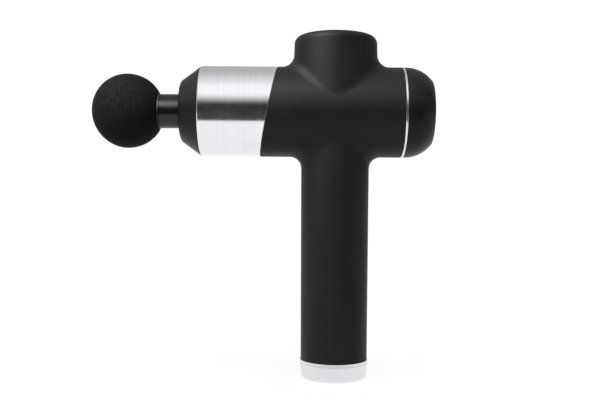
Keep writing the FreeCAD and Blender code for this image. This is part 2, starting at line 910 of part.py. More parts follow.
def piston_shaft():
    body = cyl(piston_radius, on_barrel(piston_front_x), piston_rear_x - piston_front_x, X)
    body = bevel_edges(body, piston_bevel, lambda p: near(from_barrel_axis(p), piston_radius))
    holes = [
        cyl(stem_radius + stem_clearance, on_barrel(piston_front_x), stem_depth, X),
        cyl(yoke_tail_radius, on_barrel(piston_front_x + stem_depth + 3), FAR, X),
        cyl(cross_pin_radius, cross_pin_start(piston_radius), 2 * piston_radius, Y),
    ]
    return body.cut(holes)


# ---------------------------------------------------------------- head
def ball_outside():
    """A turned body with an elliptic outline, cut flat at the back."""
    start_turn = math.asin((ball_rear_x - ball_x) / ball_length_half)
    points = []
    for k in range(ball_outline_points + 1):
        turn = start_turn - (start_turn + math.pi / 2) * k / ball_outline_points
        x = ball_x + ball_length_half * math.sin(turn)
        points.append(on_barrel(x, ball_radius * math.cos(turn)))
    along = Vec(-ball_length_half * math.cos(start_turn), 0, ball_radius * math.sin(start_turn))
    outline = Part.BSplineCurve()
    outline.interpolate(Points=points, InitialTangent=along, FinalTangent=-Z)
    front, rim = points[-1], points[0]
    edges = [
        Part.makeLine(on_barrel(ball_rear_x), rim),
        outline.toShape(),
        Part.makeLine(front, on_barrel(ball_rear_x)),
    ]
    return Part.Face(Part.Wire(edges)).revolve(on_barrel(0), X, 360)


def head_core_outside():
    """A round plug inside the foam, a collar at its back and the stem."""
    plug = Part.makeSphere(core_radius, on_barrel(ball_x))
    end_x = piston_front_x + stem_depth - stem_end_gap
    neck = cyl(stem_radius, on_barrel(ball_x), end_x - ball_x, X)
    collar_start = ball_rear_x - collar_depth
    collar_length = piston_front_x - collar_gap - collar_start
    collar = cyl(core_collar, on_barrel(collar_start), collar_length, X)
    body = plug.fuse([neck, collar])
    return bevel_edges(body, stem_bevel, lambda p: near(p.x, end_x))


def head_ring_x():
    return [piston_front_x + x for x in ring_set]


def head_core():
    groove_depth = 2 * ring_radius
    body = head_core_outside()
    for x in head_ring_x():
        start = on_barrel(x - ring_radius)
        groove = tube(stem_radius + 1, stem_radius - groove_depth, start, 2 * ring_radius, X)
        body = body.cut(groove)
    return body


def head_rings():
    middle = stem_radius - ring_radius + ring_squeeze
    return [Part.makeTorus(middle, ring_radius, on_barrel(x), X) for x in head_ring_x()]


def massage_ball():
    return ball_outside().cut(head_core_outside())


# ---------------------------------------------------------------- rear
def rear_ring():
    start = barrel_end_x + seam_gap / 2
    width = rear_cap_start_x - seam_gap / 2 - start
    ring = tube(barrel_radius + ring_proud, barrel_bore, on_barrel(start), width, X)
    return bevel_edges(ring, 0.2, lambda p: from_barrel_axis(p) > barrel_radius)


def rear_outline(inset):
    """The cap's crown: straight, then an arc to the corner, moved in by inset."""
    straight_x = rear_cap_start_x + rear_straight
    run = rear_corner_x - straight_x
    drop = barrel_radius - rear_corner_radius
    crown = (run * run + drop * drop) / (2 * drop)
    centre_r = barrel_radius - crown

    def point(turn):
        reach = crown - inset
        return on_barrel(straight_x + reach * math.sin(turn), centre_r + reach * math.cos(turn))

    return straight_x, point, math.asin(run / crown)


def rear_solid(inset, start_x, end_x):
    straight_x, point, full = rear_outline(inset)
    rim = barrel_radius - inset
    arc = Part.Arc(point(0.0), point(full / 2), point(full)).toShape()
    last = point(full)
    edges = [
        Part.makeLine(on_barrel(start_x), on_barrel(start_x, rim)),
        Part.makeLine(on_barrel(start_x, rim), on_barrel(straight_x, rim)),
        arc,
        Part.makeLine(last, Vec(last.x, 0, barrel_z)),
        Part.makeLine(Vec(last.x, 0, barrel_z), on_barrel(start_x)),
    ]
    body = Part.Face(Part.Wire(edges)).revolve(on_barrel(0), X, 360)
    return body.common(cyl(FAR / 4, on_barrel(start_x), end_x - start_x, X))


def rear_cap():
    outside = rear_solid(0.0, rear_cap_start_x, rear_corner_x)
    corner = round_edges(
        outside, rear_edge_round, lambda p: near(p.x, rear_corner_x) and from_barrel_axis(p) > 1
    )
    inside = rear_solid(rear_wall, rear_cap_start_x, seat_x)
    skirt_radius = barrel_bore - rear_skirt_slack
    skirt_start = controller_x + rear_skirt_gap
    skirt_length = rear_cap_start_x - skirt_start
    skirt = tube(skirt_radius, skirt_radius - rear_wall, on_barrel(skirt_start), skirt_length, X)
    start = on_barrel(rear_cap_start_x)
    joint = tube(barrel_radius - 1, skirt_radius - rear_wall, start, rear_joint_length, X)
    body = corner.cut(inside).fuse([skirt, joint])
    posts = []
    for angle in cap_post_angles:
        start = on_barrel(controller_x, cap_post_orbit, angle)
        posts.append(cyl(cap_post_radius, start, seat_x + 0.5 - controller_x, X))
    for angle in display_post_angles():
        start = on_barrel(display_x + board_thickness, display_post_orbit(), angle)
        posts.append(cyl(display_post_radius, start, seat_x + 0.5 - start.x, X))
    body = body.fuse(posts)
    pocket = cyl(lens_radius + lens_gap, on_barrel(lens_back_x), lens_thickness + 1, X)
    holes = [pocket]
    for angle in key_angles.values():
        start = on_barrel(seat_x, key_orbit, angle)
        holes.append(cyl(key_radius + key_flange + key_flange_slack, start, seat_thickness, X))
    holes.append(box(seat_x, lens_back_x, -8.5, 8.5, barrel_z + 1.5, barrel_z + 12.5))
    for angle in cap_post_angles:
        start = on_barrel(controller_x, cap_post_orbit, angle)
        holes.append(cyl(screw_shank + screw_slack, start, FAR / 4, X))
        seat = on_barrel(lens_back_x - screw_head_height - 0.2, cap_post_orbit, angle)
        holes.append(cyl(screw_head + screw_slack, seat, FAR / 4, X))
    for angle in display_post_angles():
        start = on_barrel(display_x + board_thickness, display_post_orbit(), angle)
        holes.append(cyl(display_screw_hole, start, 3.0, X))
    return body.cut(holes)


def display_post_angles():
    return (60.0, 165.0, 300.0)


def display_post_orbit():
    return board_radius - 2.6


def cap_screws():
    shapes = []
    head_x = lens_back_x - screw_head_height - 0.2
    for angle in cap_post_angles:
        seat = on_barrel(head_x, cap_post_orbit, angle)
        shapes.append(screw(seat, -X, head_x - rear_rib_x))
    return shapes


def control_lens():
    """A crowned disc that closes the back, with three key holes."""
    reach = (lens_radius**2 + lens_crown**2) / (2 * lens_crown)
    disc = cyl(lens_radius, on_barrel(lens_back_x), lens_thickness + lens_crown, X)
    crown_x = rear_corner_x + lens_crown - 0.05 - reach
    crown = Part.makeSphere(reach, on_barrel(crown_x))
    lens = disc.common(crown)
    for angle in key_angles.values():
        hole = cyl(key_radius + key_gap, on_barrel(lens_back_x, key_orbit, angle), FAR / 8, X)
        lens = lens.cut(hole)
    return lens


def key(name):
    """A push key: a crowned head, a flange behind the lens and a short stem."""
    angle = key_angles[name]
    flange_x = lens_back_x - 0.9
    place = on_barrel(0, key_orbit, angle)
    sink = lens_sink(key_orbit + key_radius)
    head_x = rear_corner_x + lens_crown - sink + key_proud
    head = cyl(key_radius, Vec(flange_x, place.y, place.z), head_x - flange_x, X)
    head = round_edges(head, key_round, lambda p: near(p.x, head_x))
    flange_start = Vec(flange_x, place.y, place.z)
    flange = cyl(key_radius + key_flange, flange_start, key_flange_thickness, X)
    stem_start = Vec(key_stem_x(), place.y, place.z)
    stem = cyl(key_stem_radius, stem_start, flange_x - key_stem_x(), X)
    return head.fuse([flange, stem])


def key_stem_x():
    return seat_x + 0.3


def lens_sink(radius):
    """How far the crowned face lies below its pole at a radius."""
    reach = (lens_radius**2 + lens_crown**2) / (2 * lens_crown)
    return reach - math.sqrt(reach * reach - radius * radius)


def notched_board(x):
    board = cyl(board_radius, on_barrel(x), board_thickness, X)
    for angle in cap_post_angles:
        centre = on_barrel(x, cap_post_orbit, angle)
        notch = cyl(cap_post_radius + notch_slack, centre, board_thickness, X)
        board = board.cut(notch)
    return board


def display_board():
    board = notched_board(display_x)
    for angle in display_post_angles():
        hole = cyl(1.1, on_barrel(display_x, display_post_orbit(), angle), board_thickness, X)
        board = board.cut(hole)
    return board


def display_leds():
    """A two-digit display and a row of speed lamps above the keys."""
    face_x = display_x + board_thickness
    shapes = [box(face_x, face_x + 2.0, -7.0, 7.0, barrel_z + 2.5, barrel_z + 8.5)]
    for k in range(5):
        y = -5.6 + 2.8 * k
        low = barrel_z + 9.2
        shapes.append(box(face_x, face_x + 1.2, y - 0.8, y + 0.8, low, low + 1.6))
    return shapes


def key_switches():
    shapes = []
    face_x = display_x + board_thickness
    for angle in key_angles.values():
        p = on_barrel(0, key_orbit, angle)
        body = box(face_x, face_x + 0.8, p.y - 2.6, p.y + 2.6, p.z - 2.6, p.z + 2.6)
        tip_x = key_stem_x() - key_travel - 0.1
        dome = cyl(1.2, Vec(face_x, p.y, p.z), tip_x - face_x, X)
        shapes.append(body.fuse(dome))
    return shapes


def controller_board():
    board = notched_board(controller_x)
    for angle in board_screw_angles:
        start = on_barrel(controller_x, board_screw_orbit, angle)
        board = board.cut(cyl(screw_shank, start, board_thickness, X))
    return board


def controller_parts():
    face_x = controller_x + board_thickness
    shapes = []
    for y in (-5.0, 5.0):
        can = cyl(4.0, Vec(face_x, y, barrel_z + 9.0), 11.0, X)
        shapes.append(round_edges(can, 0.6, lambda p: near(p.x, face_x + 11.0)))
    for k in range(6):
        y = -9.5 + 3.8 * k
        low = barrel_z - 1.5
        shapes.append(box(face_x, face_x + 1.4, y - 1.5, y + 1.5, low, low + 4.5))
    shapes.append(box(face_x, face_x + 1.0, -3.5, 3.5, barrel_z - 15.5, barrel_z - 12.5))
    return shapes


def board_screws():
    shapes = []
    for angle in board_screw_angles:
        face = on_barrel(controller_x + board_thickness, board_screw_orbit, angle)
        shapes.append(screw(face, -X, 4.2, head=screw_head - 0.5))
    for angle in display_post_angles():
        face = on_barrel(display_x, display_post_orbit(), angle)
        shapes.append(screw(face, X, 3.8, shank=0.9, head=1.7))
    return shapes


def display_cable():
    start = controller_x + board_thickness
    low = barrel_z - 9.6
    return box(start, display_x, -4.5, 4.5, low, low + 0.5)


# ---------------------------------------------------------------- battery
def cell_angles():
    return (0.0, 120.0, 240.0)


def gap_angles():
    return (60.0, 300.0)


def battery_cells():
    shapes = []
    for bay in bay_z:
        low = bay + holder_thickness
        for angle in cell_angles():
            can = cyl(cell_radius, on_handle(cell_orbit, angle, low), cell_length)
            can = bevel_edges(can, 0.4, lambda p: True)
            button = cyl(3.0, on_handle(cell_orbit, angle, low + cell_length), cell_button)
            shapes.append(can.fuse(button))
    return shapes


def cell_holder(z, upward):
    """An end plate of the pack: windows over the cell ends and two corner posts."""
    plate = cyl(pack_radius, Vec(0, 0, z), holder_thickness)
    for angle in cell_angles():
        window = cyl(cell_radius - holder_lip, on_handle(cell_orbit, angle, z), holder_thickness)
        plate = plate.cut(window)
    posts = []
    for angle in gap_angles():
        start = z if upward else z + holder_thickness - holder_post
        posts.append(cyl(post_radius, on_handle(lead_orbit, angle, start), holder_post))
    plate = plate.fuse(posts)
    for side in (-1, 1):
        start = Vec(-lead_orbit, side * lead_half_pitch, z)
        lead = cyl(lead_radius + holder_lead_slack, start, holder_thickness)
        plate = plate.cut(lead)
    return plate.common(cyl(pack_radius, Vec(0, 0, 0), FAR))


def cell_holders():
    shapes = []
    for bay in bay_z:
        shapes.append(cell_holder(bay, True))
        shapes.append(cell_holder(bay + bay_height - holder_thickness, False))
    return shapes


def cell_straps():
    """Nickel strips outside the end plates, dimpled down to the cell ends."""
    shapes = []
    for bay in bay_z:
        for z, inward in ((bay - strap_thickness, 1), (bay + bay_height, -1)):
            strip = None
            for angle in cell_angles():
                reach = cell_orbit + strap_reach
                low_y, high_y = -strap_half_width, strap_half_width
                bar = box(0, reach, low_y, high_y, z, z + strap_thickness)
                bar = bar.rotate(Vec(0, 0, 0), Z, angle)
                start = z + strap_thickness if inward > 0 else z - holder_thickness
                dimple = cyl(dimple_radius, on_handle(cell_orbit, angle, start), holder_thickness)
                part = bar.fuse(dimple)
                strip = part if strip is None else strip.fuse(part)
            shapes.append(strip)
    return shapes


def battery_pad():
    bore = handle_bore / 2 + 1.0
    pad = tube(pack_radius - pad_slack, bore, Vec(0, 0, floor_top_z), pad_thickness)
    for side in (-1, 1):
        start = Vec(-lead_orbit, side * lead_half_pitch, floor_top_z)
        pad = pad.cut(cyl(lead_radius + pad_slack, start, pad_thickness))
    return pad


def battery_board():
    board = cyl(pack_radius - pack_board_inset, Vec(0, 0, battery_board_z), pack_board_thickness)
    posts = []
    for angle in gap_angles():
        start = on_handle(cell_orbit + board_post_reach, angle, pack_top_z)
        posts.append(cyl(board_post_radius, start, battery_board_z - pack_top_z))
    return board.fuse(posts)


def battery_chips():
    top = battery_board_z + pack_board_thickness
    shapes = [box(-4.0, 2.0, -9.0, -3.0, top, top + 1.5)]
    for k in range(3):
        y = -4.0 + 5.0 * k
        shapes.append(box(-12.5, -7.5, y - 1.8, y + 1.8, top, top + 1.1))
    plug_start_x = plug_end_x - plug_length
    low_y, high_y = plug_y - plug_width / 2, plug_y + plug_width / 2
    shapes.append(box(plug_start_x, plug_end_x, low_y, high_y, top, top + plug_height))
    return shapes


def battery_lead():
    """Two leads from the battery board's plug, up the handle, to the controller."""
    run_z = battery_board_z + pack_board_thickness + plug_height * 0.68
    entry_z = barrel_z - battery_entry_drop
    shapes = []
    for side in (-1, 1):
        y = plug_y + side * battery_lead_half_pitch
        points = [
            Vec(plug_end_x, y, run_z),
            Vec(battery_lead_turn_x, y, run_z),
            Vec(battery_lead_turn_x, y, entry_z),
            Vec(controller_x, y, entry_z),
        ]
        shapes.append(bent_tube(points, battery_lead_radius, battery_lead_bend))
    return shapes


def motor_leads():
    """Three phase leads: under the bell, down through the deck slot, to the controller."""
    shapes = []
    low = deck_z - 3.8
    coil_z = stack_z - coil_overhang
    run_z = deck_top_z + 1.4
    for y in (-3.2, 0.0, 3.2):
        start_x = stator_radius - 3.2
        points = [
            Vec(start_x, y, coil_z),
            Vec(start_x, y, run_z),
            Vec(lead_slot_x, y, run_z),
            Vec(lead_slot_x, y, low),
            Vec(controller_x, y, low),
        ]
        shapes.append(bent_tube(points, lead_radius, 1.0))
    return shapes


def charge_lead():
    """Two leads from the charge socket up the gap between the cells."""
    shapes = []
    top = battery_board_z
    turn_z = handle_end_z - lead_radius - 0.15
    for side in (-1, 1):
        y = side * lead_half_pitch
        points = [
            Vec(socket_x, y, base_floor + socket_depth),
            Vec(socket_x, y, turn_z),
            Vec(-lead_orbit, y, turn_z),
            Vec(-lead_orbit, y, top),
        ]
        shapes.append(bent_tube(points, lead_radius, 0.75))
    return shapes


# ---------------------------------------------------------------- base
def base_cap():
    top = handle_end_z - base_ring_height - base_groove
    body = turned_on_handle([(0, 0), (base_radius - base_taper, 0), (base_radius, top), (0, top)])
    body = round_edges(body, base_edge_radius, lambda p: near(p.z, 0) and from_handle_axis(p) > 1)
    body = round_edges(body, base_rim_round, lambda p: near(p.z, top) and from_handle_axis(p) > 1)
    holes = [cyl(base_radius - base_wall, Vec(0, 0, base_floor), top)]
    for side in (-1, 1):
        centre = Vec(0, side * base_screw_offset, 0)
        holes.append(cyl(screw_shank + screw_slack, centre, base_floor))
        holes.append(cyl(screw_head + screw_slack, centre, screw_head_height + base_screw_recess))
    holes.append(cyl(socket_radius, Vec(socket_x, 0, 0), base_floor))
    half_x, half_y = switch_width / 2, switch_length / 2
    holes.append(box(switch_x - half_x, switch_x + half_x, -half_y, half_y, 0, base_floor))
    return body.cut(holes)


def base_ring():
    low = handle_end_z - base_ring_height
    ring = cyl(base_radius, Vec(0, 0, low), base_ring_height)
    ring = round_edges(ring, base_rim_round, lambda p: near(p.z, low))
    return ring.cut(cyl(base_radius - base_wall - 1.0, Vec(0, 0, low), base_ring_height))


def base_screws():
    shapes = []
    for side in (-1, 1):
        seat = Vec(0, side * base_screw_offset, screw_head_height + base_screw_recess)
        shapes.append(screw(seat, Z, base_screw_length))
    return shapes


def charge_socket():
    low = socket_recess
    body = cyl(socket_radius, Vec(socket_x, 0, low), base_floor + socket_depth - low)
    flange_radius = socket_radius + socket_flange
    flange = cyl(flange_radius, Vec(socket_x, 0, base_floor), socket_flange_thickness)
    body = body.fuse(flange)
    bore = cyl(socket_bore, Vec(socket_x, 0, 0), socket_depth)
    wide = socket_bore + socket_mouth
    mouth = Part.makeCone(wide, socket_bore, socket_mouth, Vec(socket_x, 0, low))
    pin_seat = cyl(socket_pin_radius, Vec(socket_x, 0, 0), socket_depth + 1.5)
    return body.cut([bore, mouth, pin_seat])


def socket_pin():
    pin = cyl(socket_pin_radius, Vec(socket_x, 0, pin_recess), socket_depth - 0.1)
    return round_edges(pin, socket_pin_radius / 2, lambda p: near(p.z, pin_recess))


def switch_pivot():
    return Vec(switch_x, 0, recess + switch_pivot_height)


def switch_frame():
    half_x, half_y = switch_width / 2, switch_length / 2
    top = recess + switch_height
    body = box(switch_x - half_x, switch_x + half_x, -half_y, half_y, socket_recess, top)
    flange = box(
        switch_x - half_x - switch_flange,
        switch_x + half_x + switch_flange,
        -half_y - switch_flange,
        half_y + switch_flange,
        base_floor,
        base_floor + switch_flange_thickness,
    )
    well = box(
        switch_x - half_x + switch_wall,
        switch_x + half_x - switch_wall,
        -half_y + switch_wall,
        half_y - switch_wall,
        0,
        top - 1.0,
    )
    reach = half_y - switch_wall / 4
    hinge = cyl(hinge_radius + hinge_slack, switch_pivot() - Y * reach, 2 * reach, Y)
    return body.fuse(flange).cut([well, hinge])


def power_rocker():
    half_x = switch_width / 2 - switch_wall - 0.45
    half_y = switch_length / 2 - switch_wall - 0.25
    pivot = switch_pivot()
    body = box(switch_x - half_x, switch_x + half_x, -half_y, half_y, recess + 0.1, pivot.z + 1.2)
    dish = cyl(9.0, Vec(switch_x, -half_y, recess + 0.45 - 9.0), 2 * half_y, Y)
    body = body.cut(dish)
    reach = switch_length / 2 - switch_wall / 4 - 0.15
    hinge = cyl(hinge_radius, pivot - Y * reach, 2 * reach, Y)
    return body.fuse(hinge).rotate(pivot, Y, switch_tilt)


def main():
    os.makedirs("parts", exist_ok=True)
    left, right = housing_halves()
    save("housing_left", left)
    save("housing_right", right)
    save("housing_screws", *housing_screws())
    save("front_sleeve", front_sleeve())
    save("nose_cap", nose_cap())
    save("shaft_seal", shaft_seal())
    save("drive_frame", drive_frame())
    save("guide_bushes", *guide_bushes())
    save("damping_rings", *damping_rings())
    save("motor_base", motor_base())
    save("motor_bearings", *motor_bearings())
    save("motor_screws", *motor_screws())
    save("stator_core", stator_core())
    save("stator_windings", *stator_windings())
    save("motor_leads", *motor_leads())
    save("rotor_bell", rotor_bell())
    save("rotor_magnets", *rotor_magnets())
    save("motor_shaft", motor_shaft())
    save("shaft_clip", shaft_clip())
    save("crank_wheel", crank_wheel())
    save("crank_pin", crank_pin())
    save("crank_bearing", *crank_bearing())
    save("pin_clip", pin_clip())
    save("yoke", yoke())
    save("cross_pin", cross_pin())
    save("piston_shaft", piston_shaft())
    save("massage_ball", massage_ball())
    save("head_core", head_core())
    save("head_rings", *head_rings())
    save("rear_ring", rear_ring())
    save("rear_cap", rear_cap())
    save("cap_screws", *cap_screws())
    save("control_lens", control_lens())
    for name in key_angles:
        save(name, key(name))
    save("display_board", display_board())
    save("display_leds", *display_leds())
    save("key_switches", *key_switches())
    save("display_cable", display_cable())
    save("controller_board", controller_board())
    save("controller_parts", *controller_parts())
    save("board_screws", *board_screws())
    save("battery_cells", *battery_cells())
    save("cell_holders", *cell_holders())
    save("cell_straps", *cell_straps())
    save("battery_pad", battery_pad())
    save("battery_board", battery_board())
    save("battery_chips", *battery_chips())
    save("battery_lead", *battery_lead())
    save("charge_lead", *charge_lead())
    save("base_cap", base_cap())
    save("base_ring", base_ring())
    save("base_screws", *base_screws())
    save("charge_socket", charge_socket())
    save("socket_pin", socket_pin())
    save("switch_frame", switch_frame())
    save("power_rocker", power_rocker())


main()
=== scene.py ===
import math
import bmesh
import bpy
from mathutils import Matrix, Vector, noise
from mathutils.bvhtree import BVHTree


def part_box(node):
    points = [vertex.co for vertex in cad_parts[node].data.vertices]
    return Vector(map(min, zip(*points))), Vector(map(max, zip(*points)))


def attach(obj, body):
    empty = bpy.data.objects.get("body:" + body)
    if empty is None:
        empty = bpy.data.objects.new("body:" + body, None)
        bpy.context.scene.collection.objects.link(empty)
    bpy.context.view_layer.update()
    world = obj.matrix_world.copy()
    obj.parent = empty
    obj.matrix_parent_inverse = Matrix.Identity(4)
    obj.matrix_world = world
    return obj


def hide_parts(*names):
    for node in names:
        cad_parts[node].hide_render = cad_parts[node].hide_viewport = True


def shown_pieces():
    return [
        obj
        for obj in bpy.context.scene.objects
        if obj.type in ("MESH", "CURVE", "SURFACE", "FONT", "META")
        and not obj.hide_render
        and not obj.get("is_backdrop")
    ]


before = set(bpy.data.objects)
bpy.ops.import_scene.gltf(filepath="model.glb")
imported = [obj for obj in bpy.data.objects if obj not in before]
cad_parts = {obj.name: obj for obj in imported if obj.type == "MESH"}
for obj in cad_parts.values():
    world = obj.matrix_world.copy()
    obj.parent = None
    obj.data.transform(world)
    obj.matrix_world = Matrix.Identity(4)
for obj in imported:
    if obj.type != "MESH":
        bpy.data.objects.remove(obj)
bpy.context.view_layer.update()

BARREL_Z = sum(corner.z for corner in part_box("rear_ring")) / 2


# ---------------------------------------------------------------- node helpers

def add(tree, kind, sockets=(), **settings):
    """One node; sockets holds values, or other nodes' outputs, by socket name or number."""
    made = tree.nodes.new(kind)
    for name, value in settings.items():
        setattr(made, name, value)
    for name, value in dict(sockets).items():
        if isinstance(value, bpy.types.NodeSocket):
            tree.links.new(value, made.inputs[name])
        else:
            made.inputs[name].default_value = value
    return made


def calc(tree, operation, *values, clamp=False):
    """The result of one sum on values or on other nodes' outputs."""
    made = add(tree, "ShaderNodeMath", dict(enumerate(values)), operation=operation, use_clamp=clamp)
    return made.outputs[0]


def vector_calc(tree, operation, first, second):
    """The result of one sum on two vectors, or on a vector and the number that it is scaled by."""
    place_of_second = "Scale" if operation == "SCALE" else 1
    made = add(tree, "ShaderNodeVectorMath", {0: first, place_of_second: second}, operation=operation)
    return made.outputs["Value" if operation == "DOT_PRODUCT" else "Vector"]


def between(tree, mask, low, high):
    """A number that goes from low to high with the mask."""
    return calc(tree, "MULTIPLY_ADD", mask, high - low, low)


def step_up(tree, value, start, end):
    """A soft step from 0 at start to 1 at end."""
    made = add(tree, "ShaderNodeMapRange", {0: value, 1: start, 2: end}, interpolation_type="SMOOTHSTEP")
    return made.outputs[0]


def tint(tree, mask, low, high):
    """A colour that goes from low to high with the mask."""
    # A Mix node's two colours go in at 6 and 7 and the mixed one comes out at 2.
    made = add(tree, "ShaderNodeMix", {0: mask, 6: low, 7: high}, data_type="RGBA")
    return made.outputs[2]


def spot_on(tree):
    """The place on the piece, in metres."""
    return add(tree, "ShaderNodeTexCoord").outputs["Object"]


def clouds(tree, spot, scale, detail=2.0, roughness=0.5, distortion=0.0):
    """Cloudy noise, with scale clouds to each unit of spot: its value first, then its colour."""
    return add(tree, "ShaderNodeTexNoise", {
        "Vector": spot, "Scale": scale, "Detail": detail, "Roughness": roughness, "Distortion": distortion,
    }).outputs


def rgb(red, green, blue):
    return (red, green, blue, 1.0)


def grey(level):
    return rgb(level, level, level)


def toned(colour, times, lift=0.0):
    """The colour times a factor, plus a lift, no part of it over 1."""
    return rgb(*(min(1.0, times * part + lift) for part in colour[:3]))


def new_group(name, inputs, outputs):
    """An empty node group with its named sockets, and its input and output nodes."""
    group = bpy.data.node_groups.new(name, "ShaderNodeTree")
    for label, kind, value in inputs:
        socket = group.interface.new_socket(label, in_out="INPUT", socket_type="NodeSocket" + kind)
        socket.default_value = value
    for label, kind in outputs:
        group.interface.new_socket(label, in_out="OUTPUT", socket_type="NodeSocket" + kind)
    given = group.nodes.new("NodeGroupInput").outputs
    result = group.nodes.new("NodeGroupOutput").inputs
    return group, given, result


def place(tree, group, **values):
    """A node group set into a material with its own values."""
    made = add(tree, "ShaderNodeGroup", node_tree=group)
    for name, value in values.items():
        made.inputs[name.replace("_", " ").capitalize()].default_value = value
    return made.outputs


# ---------------------------------------------------------------- effects shared by the finishes

def make_grain():
    """The fine uneven skin that a moulding or a paint has, and a slow drift of its tone."""
    group, given, result = new_group(
        "surface grain", [("Size", "Float", 0.0004)], [("Height", "Float"), ("Tone", "Float")])
    spot = spot_on(group)
    closeness = calc(group, "DIVIDE", 1.0, given["Size"])
    fine = clouds(group, spot, closeness, detail=3.0, roughness=0.6)
    slow = clouds(group, spot, scale=34.0, detail=4.0, roughness=0.55)
    group.links.new(fine[0], result["Height"])
    group.links.new(step_up(group, slow[0], 0.3, 0.7), result["Tone"])
    return group


# How often the tone changes along a tool line, to the metre.
CHANGES_ALONG_A_LINE = 28.0


def make_lathe_lines():
    """Fine tool lines round a turned or brushed piece, which follow one another in the direction Along."""
    group, given, result = new_group(
        "lathe lines",
        [("Along", "Vector", (1.0, 0.0, 0.0)), ("Spacing", "Float", 0.00025)],
        [("Height", "Float"), ("Tone", "Float")])
    closeness = calc(group, "DIVIDE", 1.0, given["Spacing"])
    across = vector_calc(group, "SCALE", given["Along"], closeness)
    stretch = vector_calc(group, "ADD", across, (CHANGES_ALONG_A_LINE,) * 3)
    stretched = vector_calc(group, "MULTIPLY", spot_on(group), stretch)
    fine = clouds(group, stretched, scale=1.0, detail=2.0, roughness=0.7)
    broad = clouds(group, stretched, scale=0.12, detail=3.0, roughness=0.6)
    group.links.new(fine[0], result["Height"])
    fine_share = calc(group, "MULTIPLY", fine[0], 0.4)
    broad_share = calc(group, "MULTIPLY", broad[0], 0.6)
    both = calc(group, "ADD", fine_share, broad_share)
    group.links.new(step_up(group, both, 0.36, 0.64), result["Tone"])
    return group


def make_edge_wear():
    """A patchy mask of the corners that rub first."""
    group, given, result = new_group(
        "edge wear", [("Width", "Float", 0.0006), ("Amount", "Float", 1.0)], [("Mask", "Float")])
    rounded = add(group, "ShaderNodeBevel", {"Radius": given["Width"]}, samples=4).outputs[0]
    flat = add(group, "ShaderNodeNewGeometry").outputs["Normal"]
    bent = calc(group, "SUBTRACT", 1.0, vector_calc(group, "DOT_PRODUCT", rounded, flat))
    corner = step_up(group, bent, 0.01, 0.16)
    patches = clouds(group, spot_on(group), scale=420.0, detail=4.0, roughness=0.65)
    worn = calc(group, "MULTIPLY", corner, step_up(group, patches[0], 0.38, 0.62))
    group.links.new(calc(group, "MULTIPLY", worn, given["Amount"], clamp=True), result["Mask"])
    return group


def make_hand_marks():
    """Soft smears where hands have been; they change the gloss more than the colour."""
    group, given, result = new_group(
        "hand marks", [("Size", "Float", 0.02), ("Amount", "Float", 1.0)], [("Mask", "Float")])
    scale = calc(group, "DIVIDE", 1.0, given["Size"])
    smear = clouds(group, spot_on(group), scale, detail=5.0, roughness=0.6, distortion=1.2)
    mask = step_up(group, smear[0], 0.44, 0.7)
    group.links.new(calc(group, "MULTIPLY", mask, given["Amount"]), result["Mask"])
    return group


def make_dust():
    """A few pale specks, most of them on faces that look up."""
    group, given, result = new_group(
        "dust", [("Spacing", "Float", 0.003), ("Amount", "Float", 1.0)], [("Mask", "Float")])
    scale = calc(group, "DIVIDE", 1.0, given["Spacing"])
    cells = add(group, "ShaderNodeTexVoronoi", {"Vector": spot_on(group), "Scale": scale})
    speck = calc(group, "SUBTRACT", 1.0, step_up(group, cells.outputs["Distance"], 0.02, 0.045))
    chance = add(group, "ShaderNodeSeparateColor", {0: cells.outputs["Color"]}).outputs[0]
    kept = calc(group, "GREATER_THAN", chance, 0.72)
    normal = add(group, "ShaderNodeNewGeometry").outputs["Normal"]
    upward = add(group, "ShaderNodeSeparateXYZ", {0: normal}).outputs[2]
    lying = between(group, step_up(group, upward, -0.2, 0.9), 0.25, 1.0)
    found = calc(group, "MULTIPLY", calc(group, "MULTIPLY", speck, kept), lying)
    group.links.new(calc(group, "MULTIPLY", found, given["Amount"]), result["Mask"])
    return group


# How far the foam's cells wander off a plain scatter, in metres.
CELL_WANDER = 0.0008


def make_foam_cells():
    """The skin of a moulded foam: shallow closed cells, and a mask of the pits between them, where the
    foam's finish paints shade.
    """
    group, given, result = new_group(
        "foam cells", [("Size", "Float", 0.0012)], [("Height", "Float"), ("Pit", "Float")])
    spot = spot_on(group)
    scale = calc(group, "DIVIDE", 1.0, given["Size"])
    bent = clouds(group, spot, calc(group, "MULTIPLY", scale, 0.5))
    shift = vector_calc(group, "SCALE", bent["Color"], CELL_WANDER)
    moved = vector_calc(group, "ADD", spot, shift)
    cells = add(group, "ShaderNodeTexVoronoi", {"Vector": moved, "Scale": scale}, feature="SMOOTH_F1")
    small = clouds(group, spot, calc(group, "MULTIPLY", scale, 2.4), detail=3.0, roughness=0.65)
    dome = calc(group, "SUBTRACT", 1.0, cells.outputs["Distance"])
    rough_dome = calc(group, "MULTIPLY_ADD", small[0], 0.7, dome)
    group.links.new(rough_dome, result["Height"])
    group.links.new(step_up(group, cells.outputs["Distance"], 0.32, 0.66), result["Pit"])
    return group


GRAIN = make_grain()
LATHE = make_lathe_lines()
WEAR = make_edge_wear()
MARKS = make_hand_marks()
DUST = make_dust()
FOAM = make_foam_cells()


# ---------------------------------------------------------------- finishes

def new_finish(name, **uniform):
    """A material with one Principled shader; uniform holds what is the same all over it."""
    material = bpy.data.materials.new(name)
    material.use_nodes = True
    tree = material.node_tree
    shader = tree.nodes["Principled BSDF"]
    for label, value in uniform.items():
        shader.inputs[label.replace("_", " ").title().replace("Ior", "IOR")].default_value = value
    return material, tree, shader.inputs


def bump(tree, shader, height, depth, strength):
    """Raises the surface by height times depth, in metres."""
    made = add(tree, "ShaderNodeBump", {"Strength": strength, "Distance": depth, "Height": height})
    tree.links.new(made.outputs[0], shader["Normal"])


